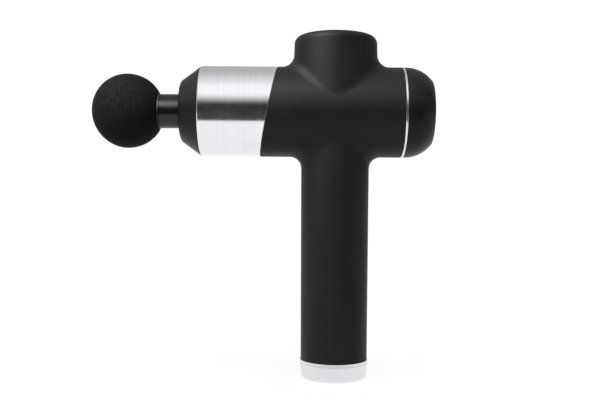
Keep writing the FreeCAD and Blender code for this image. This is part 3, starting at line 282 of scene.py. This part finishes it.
def soft_touch_paint():
    """The rubbery black paint of the housing: dull, with smears and faintly rubbed corners."""
    material, tree, shader = new_finish("soft touch paint", specular_ior_level=0.16)
    grain = place(tree, GRAIN, size=0.00035)
    marks = place(tree, MARKS, size=0.03, amount=1.0)
    wear = place(tree, WEAR, width=0.0005, amount=0.5)
    dust = place(tree, DUST, spacing=0.0045, amount=0.35)
    skin = tint(tree, grain["Tone"], rgb(0.0044, 0.0045, 0.0061), rgb(0.0058, 0.0059, 0.0077))
    rubbed = tint(tree, wear["Mask"], skin, rgb(0.034, 0.034, 0.035))
    tree.links.new(tint(tree, dust["Mask"], rubbed, grey(0.25)), shader["Base Color"])
    dull = between(tree, grain["Tone"], 0.5, 0.56)
    wiped = calc(tree, "MULTIPLY_ADD", marks["Mask"], -0.07, dull)
    polished = calc(tree, "MULTIPLY_ADD", wear["Mask"], -0.12, wiped)
    tree.links.new(polished, shader["Roughness"])
    bump(tree, shader, grain["Height"], depth=0.00002, strength=0.5)
    return material


def satin_moulding():
    """The bare black plastic of the nose and the rear cap: a little glossier than the paint."""
    material, tree, shader = new_finish("satin moulding", specular_ior_level=0.15)
    grain = place(tree, GRAIN, size=0.0006)
    marks = place(tree, MARKS, size=0.018, amount=1.0)
    wear = place(tree, WEAR, width=0.0005, amount=0.6)
    dust = place(tree, DUST, spacing=0.004, amount=0.4)
    skin = tint(tree, grain["Tone"], rgb(0.0036, 0.0036, 0.0047), rgb(0.0048, 0.0048, 0.006))
    rubbed = tint(tree, wear["Mask"], skin, rgb(0.035, 0.035, 0.036))
    tree.links.new(tint(tree, dust["Mask"], rubbed, grey(0.25)), shader["Base Color"])
    gloss = between(tree, grain["Tone"], 0.36, 0.43)
    tree.links.new(calc(tree, "MULTIPLY_ADD", marks["Mask"], -0.06, gloss), shader["Roughness"])
    bump(tree, shader, grain["Height"], depth=0.00002, strength=0.35)
    return material


AXES = {"X": (1.0, 0.0, 0.0), "Z": (0.0, 0.0, 1.0)}


def turned_metal(name, dark, light, rough, axis, spacing, stretch):
    """Metal with fine lines round it; axis is the one that it was turned about, spacing is in metres."""
    material, tree, shader = new_finish(name, anisotropic=stretch, anisotropic_rotation=0.25)
    lines = place(tree, LATHE, along=AXES[axis], spacing=spacing)
    marks = place(tree, MARKS, size=0.022, amount=1.0)
    wear = place(tree, WEAR, width=0.0004, amount=0.5)
    shade = tint(tree, lines["Tone"], dark, light)
    tree.links.new(tint(tree, wear["Mask"], shade, toned(light, 1.12)), shader["Base Color"])
    polish = between(tree, lines["Tone"], *rough)
    tree.links.new(calc(tree, "MULTIPLY_ADD", marks["Mask"], 0.05, polish), shader["Roughness"])
    tree.links.new(between(tree, marks["Mask"], 1.0, 0.97), shader["Metallic"])
    round_it = add(tree, "ShaderNodeTangent", direction_type="RADIAL", axis=axis).outputs[0]
    tree.links.new(round_it, shader["Tangent"])
    bump(tree, shader, lines["Height"], depth=0.000004, strength=0.6)
    return material


def moulded(name, dark, light, rough, grain_size=0.0005, depth=0.00002, wear_amount=0.4):
    """A moulded plastic or rubber piece."""
    material, tree, shader = new_finish(name, specular_ior_level=0.5)
    grain = place(tree, GRAIN, size=grain_size)
    wear = place(tree, WEAR, width=0.0004, amount=wear_amount)
    skin = tint(tree, grain["Tone"], dark, light)
    tree.links.new(tint(tree, wear["Mask"], skin, toned(light, 1.6, 0.015)), shader["Base Color"])
    tree.links.new(between(tree, grain["Tone"], *rough), shader["Roughness"])
    bump(tree, shader, grain["Height"], depth, strength=0.6)
    return material


def cast_metal(name, dark, light, rough, metal=1.0):
    """Plain, plated or painted metal with a fine grain and brighter corners."""
    material, tree, shader = new_finish(name, metallic=metal)
    grain = place(tree, GRAIN, size=0.0004)
    wear = place(tree, WEAR, width=0.0003, amount=0.8)
    skin = tint(tree, grain["Tone"], dark, light)
    tree.links.new(tint(tree, wear["Mask"], skin, toned(light, 1.25, 0.02)), shader["Base Color"])
    tree.links.new(between(tree, grain["Tone"], *rough), shader["Roughness"])
    bump(tree, shader, grain["Height"], depth=0.00001, strength=0.5)
    return material


def foam_skin():
    """The dense black foam of the ball, with painted shade in its pits, a paler bloom and a little lint.
    """
    material, tree, shader = new_finish("foam skin", specular_ior_level=0.07)
    cells = place(tree, FOAM, size=0.0011)
    grain = place(tree, GRAIN, size=0.0003)
    dust = place(tree, DUST, spacing=0.0028, amount=0.25)
    base = tint(tree, grain["Tone"], rgb(0.0045, 0.0045, 0.0058), rgb(0.0068, 0.0068, 0.0083))
    # Painted shade: the pits between the cells are coloured darker than the cells, as shade would fall in
    # them.
    pits_painted_shade = tint(tree, cells["Pit"], base, rgb(0.0038, 0.0038, 0.0045))
    tree.links.new(tint(tree, dust["Mask"], pits_painted_shade, grey(0.2)), shader["Base Color"])
    tree.links.new(between(tree, cells["Pit"], 0.72, 0.95), shader["Roughness"])
    both = calc(tree, "MULTIPLY_ADD", grain["Height"], 0.4, cells["Height"])
    bump(tree, shader, both, depth=0.0001, strength=0.5)
    return material


def smoked_lens():
    """The glossy black window over the display, with wiped smears."""
    material, tree, shader = new_finish(
        "smoked lens", specular_ior_level=0.55, coat_weight=0.4, coat_roughness=0.04)
    marks = place(tree, MARKS, size=0.009, amount=1.0)
    grain = place(tree, GRAIN, size=0.002)
    glass = tint(tree, grain["Tone"], rgb(0.004, 0.004, 0.0045), rgb(0.006, 0.006, 0.0065))
    tree.links.new(glass, shader["Base Color"])
    tree.links.new(between(tree, marks["Mask"], 0.09, 0.2), shader["Roughness"])
    bump(tree, shader, grain["Height"], depth=0.000004, strength=0.3)
    return material


def lit_mark(name, colour, strength):
    """A mark that glows; its glow drifts a little as a lamp behind a mask does."""
    material, tree, shader = new_finish(name, roughness=0.35, emission_strength=strength)
    grain = place(tree, GRAIN, size=0.0012)
    glow = tint(tree, grain["Height"], toned(colour, 0.6), colour)
    tree.links.new(glow, shader["Emission Color"])
    tree.links.new(tint(tree, grain["Tone"], grey(0.3), grey(0.4)), shader["Base Color"])
    return material


def printed_mark():
    """White ink on a key or a switch."""
    return moulded(
        "printed mark", grey(0.62), grey(0.75), (0.4, 0.5),
        grain_size=0.0002, depth=0.000004, wear_amount=0.0)


def cell_wrap():
    """The shrink sleeve of a battery cell: a faint stretch pattern on a glossy film."""
    material, tree, shader = new_finish("cell wrap", specular_ior_level=0.5)
    lines = place(tree, LATHE, along=AXES["Z"], spacing=0.0008)
    grain = place(tree, GRAIN, size=0.0015)
    film = tint(tree, lines["Tone"], rgb(0.02, 0.13, 0.3), rgb(0.03, 0.18, 0.38))
    tree.links.new(film, shader["Base Color"])
    tree.links.new(between(tree, grain["Tone"], 0.25, 0.36), shader["Roughness"])
    bump(tree, shader, grain["Height"], depth=0.00003, strength=0.5)
    return material


def circuit_board():
    """Green solder resist with the faint relief of its tracks."""
    material, tree, shader = new_finish("circuit board", coat_weight=0.3, coat_roughness=0.15)
    tracks = add(tree, "ShaderNodeTexVoronoi", {"Vector": spot_on(tree), "Scale": 420.0},
                 distance="CHEBYCHEV", feature="DISTANCE_TO_EDGE")
    line = step_up(tree, tracks.outputs["Distance"], 0.05, 0.09)
    grain = place(tree, GRAIN, size=0.0004)
    board = tint(tree, line, rgb(0.03, 0.2, 0.07), rgb(0.012, 0.1, 0.035))
    tree.links.new(tint(tree, grain["Tone"], board, rgb(0.012, 0.12, 0.045)), shader["Base Color"])
    tree.links.new(between(tree, line, 0.32, 0.45), shader["Roughness"])
    bump(tree, shader, line, depth=0.00003, strength=0.5)
    return material


def copper_winding():
    """Enamelled wire laid side by side, with painted shade in the grooves between the wires."""
    material, tree, shader = new_finish("copper winding", metallic=1.0)
    wires = add(tree, "ShaderNodeTexWave",
                {"Vector": spot_on(tree), "Scale": 900.0, "Distortion": 1.0, "Detail": 1.0},
                wave_type="BANDS", bands_direction="Z").outputs["Fac"]
    grain = place(tree, GRAIN, size=0.0006)
    # Painted shade: the copper is darker where the wave is low, in the grooves between the wires.
    copper = tint(tree, wires, rgb(0.22, 0.07, 0.025), rgb(0.72, 0.3, 0.12))
    tree.links.new(copper, shader["Base Color"])
    tree.links.new(between(tree, grain["Tone"], 0.25, 0.4), shader["Roughness"])
    bump(tree, shader, wires, depth=0.0001, strength=0.6)
    return material


# Each finish by the slot that it is for: darker and lighter colour, then its range of roughness.
FINISHES = {
    "soft_black": soft_touch_paint(),
    "cap_black": satin_moulding(),
    "foam_black": foam_skin(),
    "lens_black": smoked_lens(),
    "copper_wire": copper_winding(),
    "board_green": circuit_board(),
    "cell_wrap": cell_wrap(),
    "lamp_white": lit_mark("display lamp", rgb(0.75, 0.85, 1.0), strength=0.6),
    "sleeve_aluminium": turned_metal(
        "brushed sleeve", rgb(0.8, 0.805, 0.82), rgb(0.85, 0.855, 0.875), (0.16, 0.22),
        axis="X", spacing=0.00022, stretch=0.75),
    "trim_silver": turned_metal(
        "silver trim", rgb(0.75, 0.75, 0.765), rgb(0.83, 0.83, 0.845), (0.24, 0.36),
        axis="Z", spacing=0.0003, stretch=0.4),
    "shaft_gunmetal": turned_metal(
        "gunmetal shaft", rgb(0.036, 0.0363, 0.0385), rgb(0.049, 0.0495, 0.0525), (0.34, 0.44),
        axis="X", spacing=0.0003, stretch=0.5),
    "core_black": moulded("head core", grey(0.02), grey(0.03), (0.35, 0.45)),
    "seal_rubber": moulded("rubber", grey(0.012), grey(0.02), (0.55, 0.7), grain_size=0.0003),
    "bush_plastic": moulded("acetal bush", rgb(0.68, 0.67, 0.62), rgb(0.78, 0.77, 0.72), (0.4, 0.5)),
    "chip_black": moulded(
        "component body", rgb(0.014, 0.014, 0.015), rgb(0.022, 0.022, 0.024), (0.4, 0.5)),
    "key_grey": moulded(
        "rubber key", rgb(0.05, 0.05, 0.053), rgb(0.068, 0.068, 0.072), (0.5, 0.6), grain_size=0.0003),
    "holder_black": moulded("cell holder", grey(0.028), grey(0.042), (0.5, 0.62)),
    "pad_grey": moulded("foam pad", grey(0.12), grey(0.22), (0.85, 0.95), depth=0.0002),
    "lead_red": moulded("red lead", rgb(0.34, 0.012, 0.012), rgb(0.45, 0.02, 0.02), (0.4, 0.5)),
    "lead_black": moulded("black lead", grey(0.012), grey(0.02), (0.4, 0.5)),
    "socket_black": moulded("socket body", grey(0.012), grey(0.019), (0.3, 0.42)),
    "rocker_black": moulded("rocker", grey(0.014), grey(0.022), (0.3, 0.4)),
    "frame_aluminium": cast_metal(
        "cast aluminium", rgb(0.5, 0.5, 0.51), rgb(0.66, 0.66, 0.67), (0.38, 0.5)),
    "bright_steel": cast_metal("bright steel", rgb(0.5, 0.5, 0.51), rgb(0.64, 0.64, 0.65), (0.2, 0.3)),
    "dark_screw": cast_metal(
        "blackened screw", rgb(0.045, 0.045, 0.048), rgb(0.075, 0.075, 0.08), (0.3, 0.42)),
    "bell_black": cast_metal(
        "painted bell", rgb(0.022, 0.022, 0.026), rgb(0.036, 0.036, 0.042), (0.3, 0.4), metal=0.3),
    "magnet_grey": cast_metal("nickelled magnet", grey(0.3), rgb(0.42, 0.42, 0.43), (0.3, 0.4)),
    "lamination": cast_metal(
        "steel laminations", rgb(0.12, 0.13, 0.15), rgb(0.2, 0.21, 0.24), (0.4, 0.52)),
    "strap_nickel": cast_metal(
        "nickel strap", rgb(0.52, 0.5, 0.46), rgb(0.66, 0.64, 0.6), (0.28, 0.38)),
    "contact_brass": cast_metal(
        "brass contact", rgb(0.6, 0.44, 0.18), rgb(0.76, 0.58, 0.26), (0.22, 0.32)),
}
BARREL_RING = turned_metal(
    "barrel ring", rgb(0.74, 0.74, 0.75), rgb(0.86, 0.86, 0.87), (0.2, 0.3),
    axis="X", spacing=0.0003, stretch=0.4)


def dress_frame():
    """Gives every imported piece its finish, by the slot that it came with."""
    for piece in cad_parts.values():
        for slot in piece.material_slots:
            slot.material = FINISHES[slot.material.name]
    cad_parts["rear_ring"].material_slots[0].material = BARREL_RING


# ---------------------------------------------------------------- pieces made here

def new_piece(name, mesh, body, finish):
    """A finished mesh as a piece that moves with its body."""
    piece = bpy.data.objects.new(name, mesh)
    bpy.context.scene.collection.objects.link(piece)
    mesh.materials.append(finish)
    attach(piece, body)
    return piece


BALL_SUBDIVISIONS = 6
BALL_HALF_LENGTH = 0.024
BALL_UNEVENNESS = 0.00022
PATCHES_PER_METRE = 55.0
RIM_ROUND = 0.0012
CELL_DEPTH = 0.00005
CELL_SIZE = 0.0016
CELL_SHARPNESS = 2.5


def foam_height(spot):
    """How far the moulded foam stands off its ideal sphere at a point."""
    slow = noise.noise(spot * PATCHES_PER_METRE)
    nearest = noise.voronoi(spot / CELL_SIZE, distance_metric="DISTANCE", exponent=CELL_SHARPNESS)[0]
    return BALL_UNEVENNESS * slow - CELL_DEPTH * nearest[0]


def make_foam_ball():
    """The ball, flat where its core's collar comes out, with a rounded rim there."""
    low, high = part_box("massage_ball")
    radius = (high.z - low.z) / 2
    middle = Vector((low.x + BALL_HALF_LENGTH, 0.0, BARREL_Z))
    squash = (middle.x - low.x) / radius
    round_from = high.x - middle.x - RIM_ROUND
    mesh = bpy.data.meshes.new("foam_ball")
    ball = bmesh.new()
    bmesh.ops.create_icosphere(ball, subdivisions=BALL_SUBDIVISIONS, radius=1.0)
    for vertex in ball.verts:
        spot = vertex.co * radius
        spot.x *= squash
        beyond = spot.x - round_from
        if beyond > 0.0:
            spot.x = round_from + RIM_ROUND * math.tanh(beyond / RIM_ROUND)
        spot += spot.normalized() * foam_height(spot)
        vertex.co = spot + middle
    for face in ball.faces:
        face.smooth = True
    ball.to_mesh(mesh)
    ball.free()
    piece = new_piece("foam_ball", mesh, "head", FINISHES["foam_black"])
    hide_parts("massage_ball")


def surface_of(node):
    """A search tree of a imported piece's faces."""
    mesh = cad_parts[node].data
    corners = [vertex.co for vertex in mesh.vertices]
    return BVHTree.FromPolygons(corners, [tuple(face.vertices) for face in mesh.polygons])


def middle_of(node):
    """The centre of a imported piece's box."""
    low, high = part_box(node)
    return (low + high) / 2


# A mark's place is looked for from MARK_START in front of its surface, and it sits half in that surface.
MARK_START = 0.02
MARK_HALF_THICKNESS = 0.00006
WELD_WITHIN = 0.000002


def stroke_outline(path, width):
    """A ribbon of quads of that width along a list of flat points."""
    left, right = [], []
    for number, point in enumerate(path):
        before = path[max(number - 1, 0)]
        after = path[min(number + 1, len(path) - 1)]
        heading = (after - before).normalized()
        side = Vector((-heading.y, heading.x)) * width / 2
        left.append(point + side)
        right.append(point - side)
    return [(left[i], left[i + 1], right[i + 1], right[i]) for i in range(len(path) - 1)]


def line_path(start, end, steps=6):
    """Evenly spaced points along a straight line."""
    first, last = Vector(start), Vector(end)
    return [first.lerp(last, step / steps) for step in range(steps + 1)]


def arc_path(radius, first, last, steps=28):
    """Points round the middle, from one angle to another in degrees; 90 is up."""
    turns = [math.radians(first + (last - first) * step / steps) for step in range(steps + 1)]
    return [Vector((radius * math.cos(turn), radius * math.sin(turn))) for turn in turns]


def mark_mesh(name, strokes, centre, right, up, ray, surface):
    """Thin ribbons on a surface: their flat points are carried along the ray until they meet it."""
    mesh = bpy.data.meshes.new(name)
    made = bmesh.new()
    for path, width in strokes:
        for quad in stroke_outline(path, width):
            lower, upper = [], []
            for point in quad:
                start = centre + right * point.x + up * point.y - ray * MARK_START
                hit = surface.ray_cast(start, ray)[0]
                lower.append(made.verts.new(hit + ray * MARK_HALF_THICKNESS))
                upper.append(made.verts.new(hit - ray * MARK_HALF_THICKNESS))
            made.faces.new(upper)
            made.faces.new(lower[::-1])
            for i in range(4):
                j = (i + 1) % 4
                made.faces.new((upper[i], lower[i], lower[j], upper[j]))
    bmesh.ops.remove_doubles(made, verts=made.verts, dist=WELD_WITHIN)
    bmesh.ops.recalc_face_normals(made, faces=made.faces)
    made.to_mesh(mesh)
    made.free()
    return mesh


FROM_BEHIND = {"right": Vector((0, 1, 0)), "up": Vector((0, 0, 1)), "ray": Vector((-1, 0, 0))}
FROM_BELOW = {"right": Vector((1, 0, 0)), "up": Vector((0, -1, 0)), "ray": Vector((0, 0, 1))}

SIGN_REACH = 0.0016
SIGN_STROKE = 0.00042
POWER_ARC = (125, 415)
POWER_STEM = (0.0003, 0.0020)


def make_key_signs():
    """A power sign, a plus and a minus, printed on their keys."""
    ink = printed_mark()
    across = line_path((-SIGN_REACH, 0), (SIGN_REACH, 0))
    upper = line_path((0, SIGN_REACH), (0, SIGN_STROKE / 2), steps=3)
    lower = line_path((0, -SIGN_STROKE / 2), (0, -SIGN_REACH), steps=3)
    ring = arc_path(SIGN_REACH, *POWER_ARC)
    stem = line_path((0, POWER_STEM[0]), (0, POWER_STEM[1]), steps=3)
    signs = {
        "plus_key": ("plus_button", (across, upper, lower)),
        "minus_key": ("minus_button", (across,)),
        "power_key": ("power_button", (ring, stem)),
    }
    for key, (body, paths) in signs.items():
        strokes = [(path, SIGN_STROKE) for path in paths]
        mesh = mark_mesh(key + "_sign", strokes, middle_of(key), surface=surface_of(key), **FROM_BEHIND)
        new_piece(key + "_sign", mesh, body, ink)


DIGIT_HEIGHT = 0.0054
DIGIT_WIDTH = 0.0028
DIGIT_STROKE = 0.00055
DIGIT_SLANT = 0.04
DIGIT_OFFSET = 0.0026
SEGMENT_GAP = 0.62 * DIGIT_STROKE
NUMBER_ABOVE_AXIS = 0.0052
SEGMENTS = {
    "top": ((-1, 1), (1, 1)), "middle": ((-1, 0), (1, 0)), "bottom": ((-1, -1), (1, -1)),
    "top_left": ((-1, 1), (-1, 0)), "top_right": ((1, 1), (1, 0)),
    "bottom_left": ((-1, 0), (-1, -1)), "bottom_right": ((1, 0), (1, -1)),
}
DIGIT_SEGMENTS = {
    "1": ("top_right", "bottom_right"),
    "2": ("top", "top_right", "middle", "bottom_left", "bottom"),
}


def digit_strokes(digit, across):
    """The lit bars of one seven-bar digit, with the small gaps between them."""
    strokes = []
    for name in DIGIT_SEGMENTS[digit]:
        first, last = [
            Vector((across + x * DIGIT_WIDTH / 2 + DIGIT_SLANT * y * DIGIT_HEIGHT, y * DIGIT_HEIGHT / 2))
            for x, y in SEGMENTS[name]]
        gap = (last - first).normalized() * SEGMENT_GAP
        strokes.append((line_path(first + gap, last - gap, steps=2), DIGIT_STROKE))
    return strokes


LAMP_COUNT = 5
LAMP_SPACING = 0.0028
LAMP_LENGTH = 0.0016
LAMP_STROKE = 0.0006
LAMPS_ABOVE_AXIS = 0.0100


def make_display():
    """The speed number and the charge lamps, which shine through the lens."""
    surface = surface_of("control_lens")
    lens_x = middle_of("control_lens").x
    strokes = digit_strokes("1", -DIGIT_OFFSET) + digit_strokes("2", DIGIT_OFFSET)
    centre = Vector((lens_x, 0.0, BARREL_Z + NUMBER_ABOVE_AXIS))
    mesh = mark_mesh("speed_number", strokes, centre, surface=surface, **FROM_BEHIND)
    glow = lit_mark("speed number glow", rgb(0.8, 0.92, 1.0), strength=2.2)
    new_piece("speed_number", mesh, "gun", glow)
    bars = []
    for number in range(LAMP_COUNT):
        across = (number - (LAMP_COUNT - 1) / 2) * LAMP_SPACING
        path = line_path((across - LAMP_LENGTH / 2, 0), (across + LAMP_LENGTH / 2, 0), steps=2)
        bars.append((path, LAMP_STROKE))
    centre = Vector((lens_x, 0.0, BARREL_Z + LAMPS_ABOVE_AXIS))
    mesh = mark_mesh("charge_lamps", bars, centre, surface=surface, **FROM_BEHIND)
    glow = lit_mark("lamp glow", rgb(0.35, 1.0, 0.55), strength=1.4)
    new_piece("charge_lamps", mesh, "gun", glow)


ROCKER_SIGN_REACH = 0.0011
ROCKER_SIGN_STROKE = 0.0004


def make_switch_marks():
    """A stroke and a ring, printed on the two ends of the rocker under the base."""
    low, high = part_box("power_rocker")
    centre = Vector(((low.x + high.x) / 2, 0.0, (low.z + high.z) / 2))
    off_centre = Vector(((high.x - low.x) / 4, 0))
    bar = [off_centre + Vector((0, y)) for y in (-ROCKER_SIGN_REACH, 0.0, ROCKER_SIGN_REACH)]
    ring = [point - off_centre for point in arc_path(ROCKER_SIGN_REACH, 0, 360)]
    strokes = [(bar, ROCKER_SIGN_STROKE), (ring, ROCKER_SIGN_STROKE)]
    mesh = mark_mesh("switch_marks", strokes, centre, surface=surface_of("power_rocker"), **FROM_BELOW)
    new_piece("switch_marks", mesh, "rocker", FINISHES["bush_plastic"])


# ---------------------------------------------------------------- studio

TABLE_REACH = 6.0
TABLE_BELOW = 0.0002
TABLE_GLOW = 0.74
CARD_DISTANCE = 0.335
CARD_HALF_WIDTH = 0.52
CARD_HEIGHT = 0.25


def plain_sheet(name, corners, material):
    """One flat face of the studio, which isn't part of the object."""
    mesh = bpy.data.meshes.new(name)
    mesh.from_pydata(corners, [], [tuple(range(len(corners)))])
    mesh.materials.append(material)
    sheet = bpy.data.objects.new(name, mesh)
    bpy.context.scene.collection.objects.link(sheet)
    sheet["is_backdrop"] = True
    return sheet


def make_floor():
    """A pale, evenly lit sweep. It glows a little, so it holds no hard shadow; it is clear from below."""
    material, tree, shader = new_finish(
        "pale floor", roughness=0.9, specular_ior_level=0.1, emission_strength=TABLE_GLOW,
        emission_color=rgb(0.985, 0.985, 1.0))
    grain = place(tree, GRAIN, size=0.002)
    paper = tint(tree, grain["Tone"], rgb(0.44, 0.44, 0.445), rgb(0.46, 0.46, 0.465))
    tree.links.new(paper, shader["Base Color"])
    from_below = add(tree, "ShaderNodeNewGeometry").outputs["Backfacing"]
    tree.links.new(calc(tree, "SUBTRACT", 1.0, from_below), shader["Alpha"])
    sides = ((-1, -1), (1, -1), (1, 1), (-1, 1))
    plain_sheet("floor", [(x * TABLE_REACH, y * TABLE_REACH, -TABLE_BELOW) for x, y in sides], material)


def make_dark_card():
    """The unlit side of the room in front of the piece: only reflections see it."""
    material, tree, shader = new_finish("dark card", roughness=1.0, specular_ior_level=0.0)
    grain = place(tree, GRAIN, size=0.01)
    black = tint(tree, grain["Tone"], rgb(0.03, 0.03, 0.032), rgb(0.036, 0.036, 0.038))
    tree.links.new(black, shader["Base Color"])
    sides = ((-CARD_HALF_WIDTH, 0.0), (CARD_HALF_WIDTH, 0.0),
             (CARD_HALF_WIDTH, CARD_HEIGHT), (-CARD_HALF_WIDTH, CARD_HEIGHT))
    card = plain_sheet("dark_card", [(x, -CARD_DISTANCE, z) for x, z in sides], material)
    card.visible_camera = False
    card.visible_diffuse = False
    card.visible_shadow = False
    card.visible_transmission = False


# The room's brightness by height, from the front horizon over the top to the one behind, in degrees.
ROOM = [(0, 0.03), (11, 0.045), (18, 0.15), (27, 0.6), (34, 0.95), (42, 1.12), (62, 1.12), (72, 0.95),
        (84, 0.79), (98, 0.65), (115, 0.53), (137, 0.5), (180, 0.46)]
ROOM_COOLNESS = 1.01
ROOM_SIDES = 0.35
SIDES_FROM = 0.62
SIDES_FULL = 0.93
BACKDROP = 1.02


def make_world():
    """White where the camera looks; in reflections, dark in front, bright overhead and softer behind."""
    world = bpy.data.worlds.new("room")
    bpy.context.scene.world = world
    world.use_nodes = True
    tree = world.node_tree
    background = tree.nodes["Background"]
    seen = add(tree, "ShaderNodeLightPath").outputs["Is Camera Ray"]
    ray = add(tree, "ShaderNodeTexCoord").outputs["Generated"]
    x, y, z = add(tree, "ShaderNodeSeparateXYZ", {0: ray}).outputs
    height = calc(tree, "ARCTAN2", z, calc(tree, "MULTIPLY", y, -1.0))
    ramp = add(tree, "ShaderNodeValToRGB", {0: calc(tree, "DIVIDE", height, math.pi)})
    stops = ramp.color_ramp.elements
    while len(stops) < len(ROOM):
        stops.new(1.0)
    for stop, (angle, bright) in zip(stops, ROOM):
        stop.position = angle / 180
        stop.color = rgb(bright, bright, bright * ROOM_COOLNESS)
    side = step_up(tree, calc(tree, "ABSOLUTE", x), SIDES_FROM, SIDES_FULL)
    room = tint(tree, side, ramp.outputs[0], grey(ROOM_SIDES))
    tree.links.new(tint(tree, seen, room, grey(BACKDROP)), background.inputs["Color"])


# Each soft box is square: where it stands, its side in metres and its radiance.
KEY_BOX = ((-0.3, -0.42, 0.62), 0.35, 6.0)
FILL_BOX = ((-0.37, -0.32, 0.66), 0.65, 6.9)


def soft_box(name, place_at, side, radiance, receivers):
    """A flat soft light that looks at the barrel and lights only its receivers."""
    data = bpy.data.lights.new(name, "AREA")
    data.shape = "SQUARE"
    data.size = side
    data.energy = radiance * math.pi * side * side
    lamp = bpy.data.objects.new(name, data)
    bpy.context.scene.collection.objects.link(lamp)
    aim = Vector((0.0, 0.0, BARREL_Z)) - Vector(place_at)
    lamp.location = place_at
    lamp.rotation_euler = aim.to_track_quat("-Z", "Y").to_euler()
    lamp.visible_camera = False
    lamp.light_linking.receiver_collection = receivers


def pieces_without(name, finishes):
    """A collection of every piece that has none of those finishes."""
    kept = bpy.data.collections.new(name)
    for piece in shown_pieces():
        if not set(finishes) & set(piece.data.materials):
            kept.objects.link(piece)
    return kept


def make_lights():
    """Two soft boxes from the front left; flags keep them off the floor and the bright metal."""
    bright = [FINISHES["sleeve_aluminium"], FINISHES["trim_silver"], BARREL_RING]
    dark_pieces = pieces_without("dark pieces", bright)
    black_pieces = pieces_without("black pieces", bright + [FINISHES["shaft_gunmetal"]])
    soft_box("key_softbox", *KEY_BOX, dark_pieces)
    soft_box("fill_softbox", *FILL_BOX, black_pieces)


CAMERA_AT = (-0.02325, -0.530, 0.1182)
CAMERA_ROLL_DEGREES = -0.42
LENS_MM = 47.46
SENSOR_MM = 36.0
NEAR_CLIP = 0.01


def make_camera():
    """A level camera that looks along +Y, rolled by a fraction of a degree."""
    data = bpy.data.cameras.new("camera")
    data.sensor_width = SENSOR_MM
    data.lens = LENS_MM
    data.clip_start = NEAR_CLIP
    camera = bpy.data.objects.new("camera", data)
    bpy.context.scene.collection.objects.link(camera)
    camera.location = CAMERA_AT
    camera.rotation_euler = (math.radians(90.0), math.radians(CAMERA_ROLL_DEGREES), 0.0)
    bpy.context.scene.camera = camera


def set_look():
    """Plain colours, with no film look over them."""
    view = bpy.context.scene.view_settings
    view.view_transform = "Standard"
    view.look = "None"
    view.exposure = 0.0
    view.gamma = 1.0


dress_frame()
make_foam_ball()
make_key_signs()
make_display()
make_switch_marks()
make_floor()
make_dark_card()
make_world()
make_lights()
make_camera()
set_look()
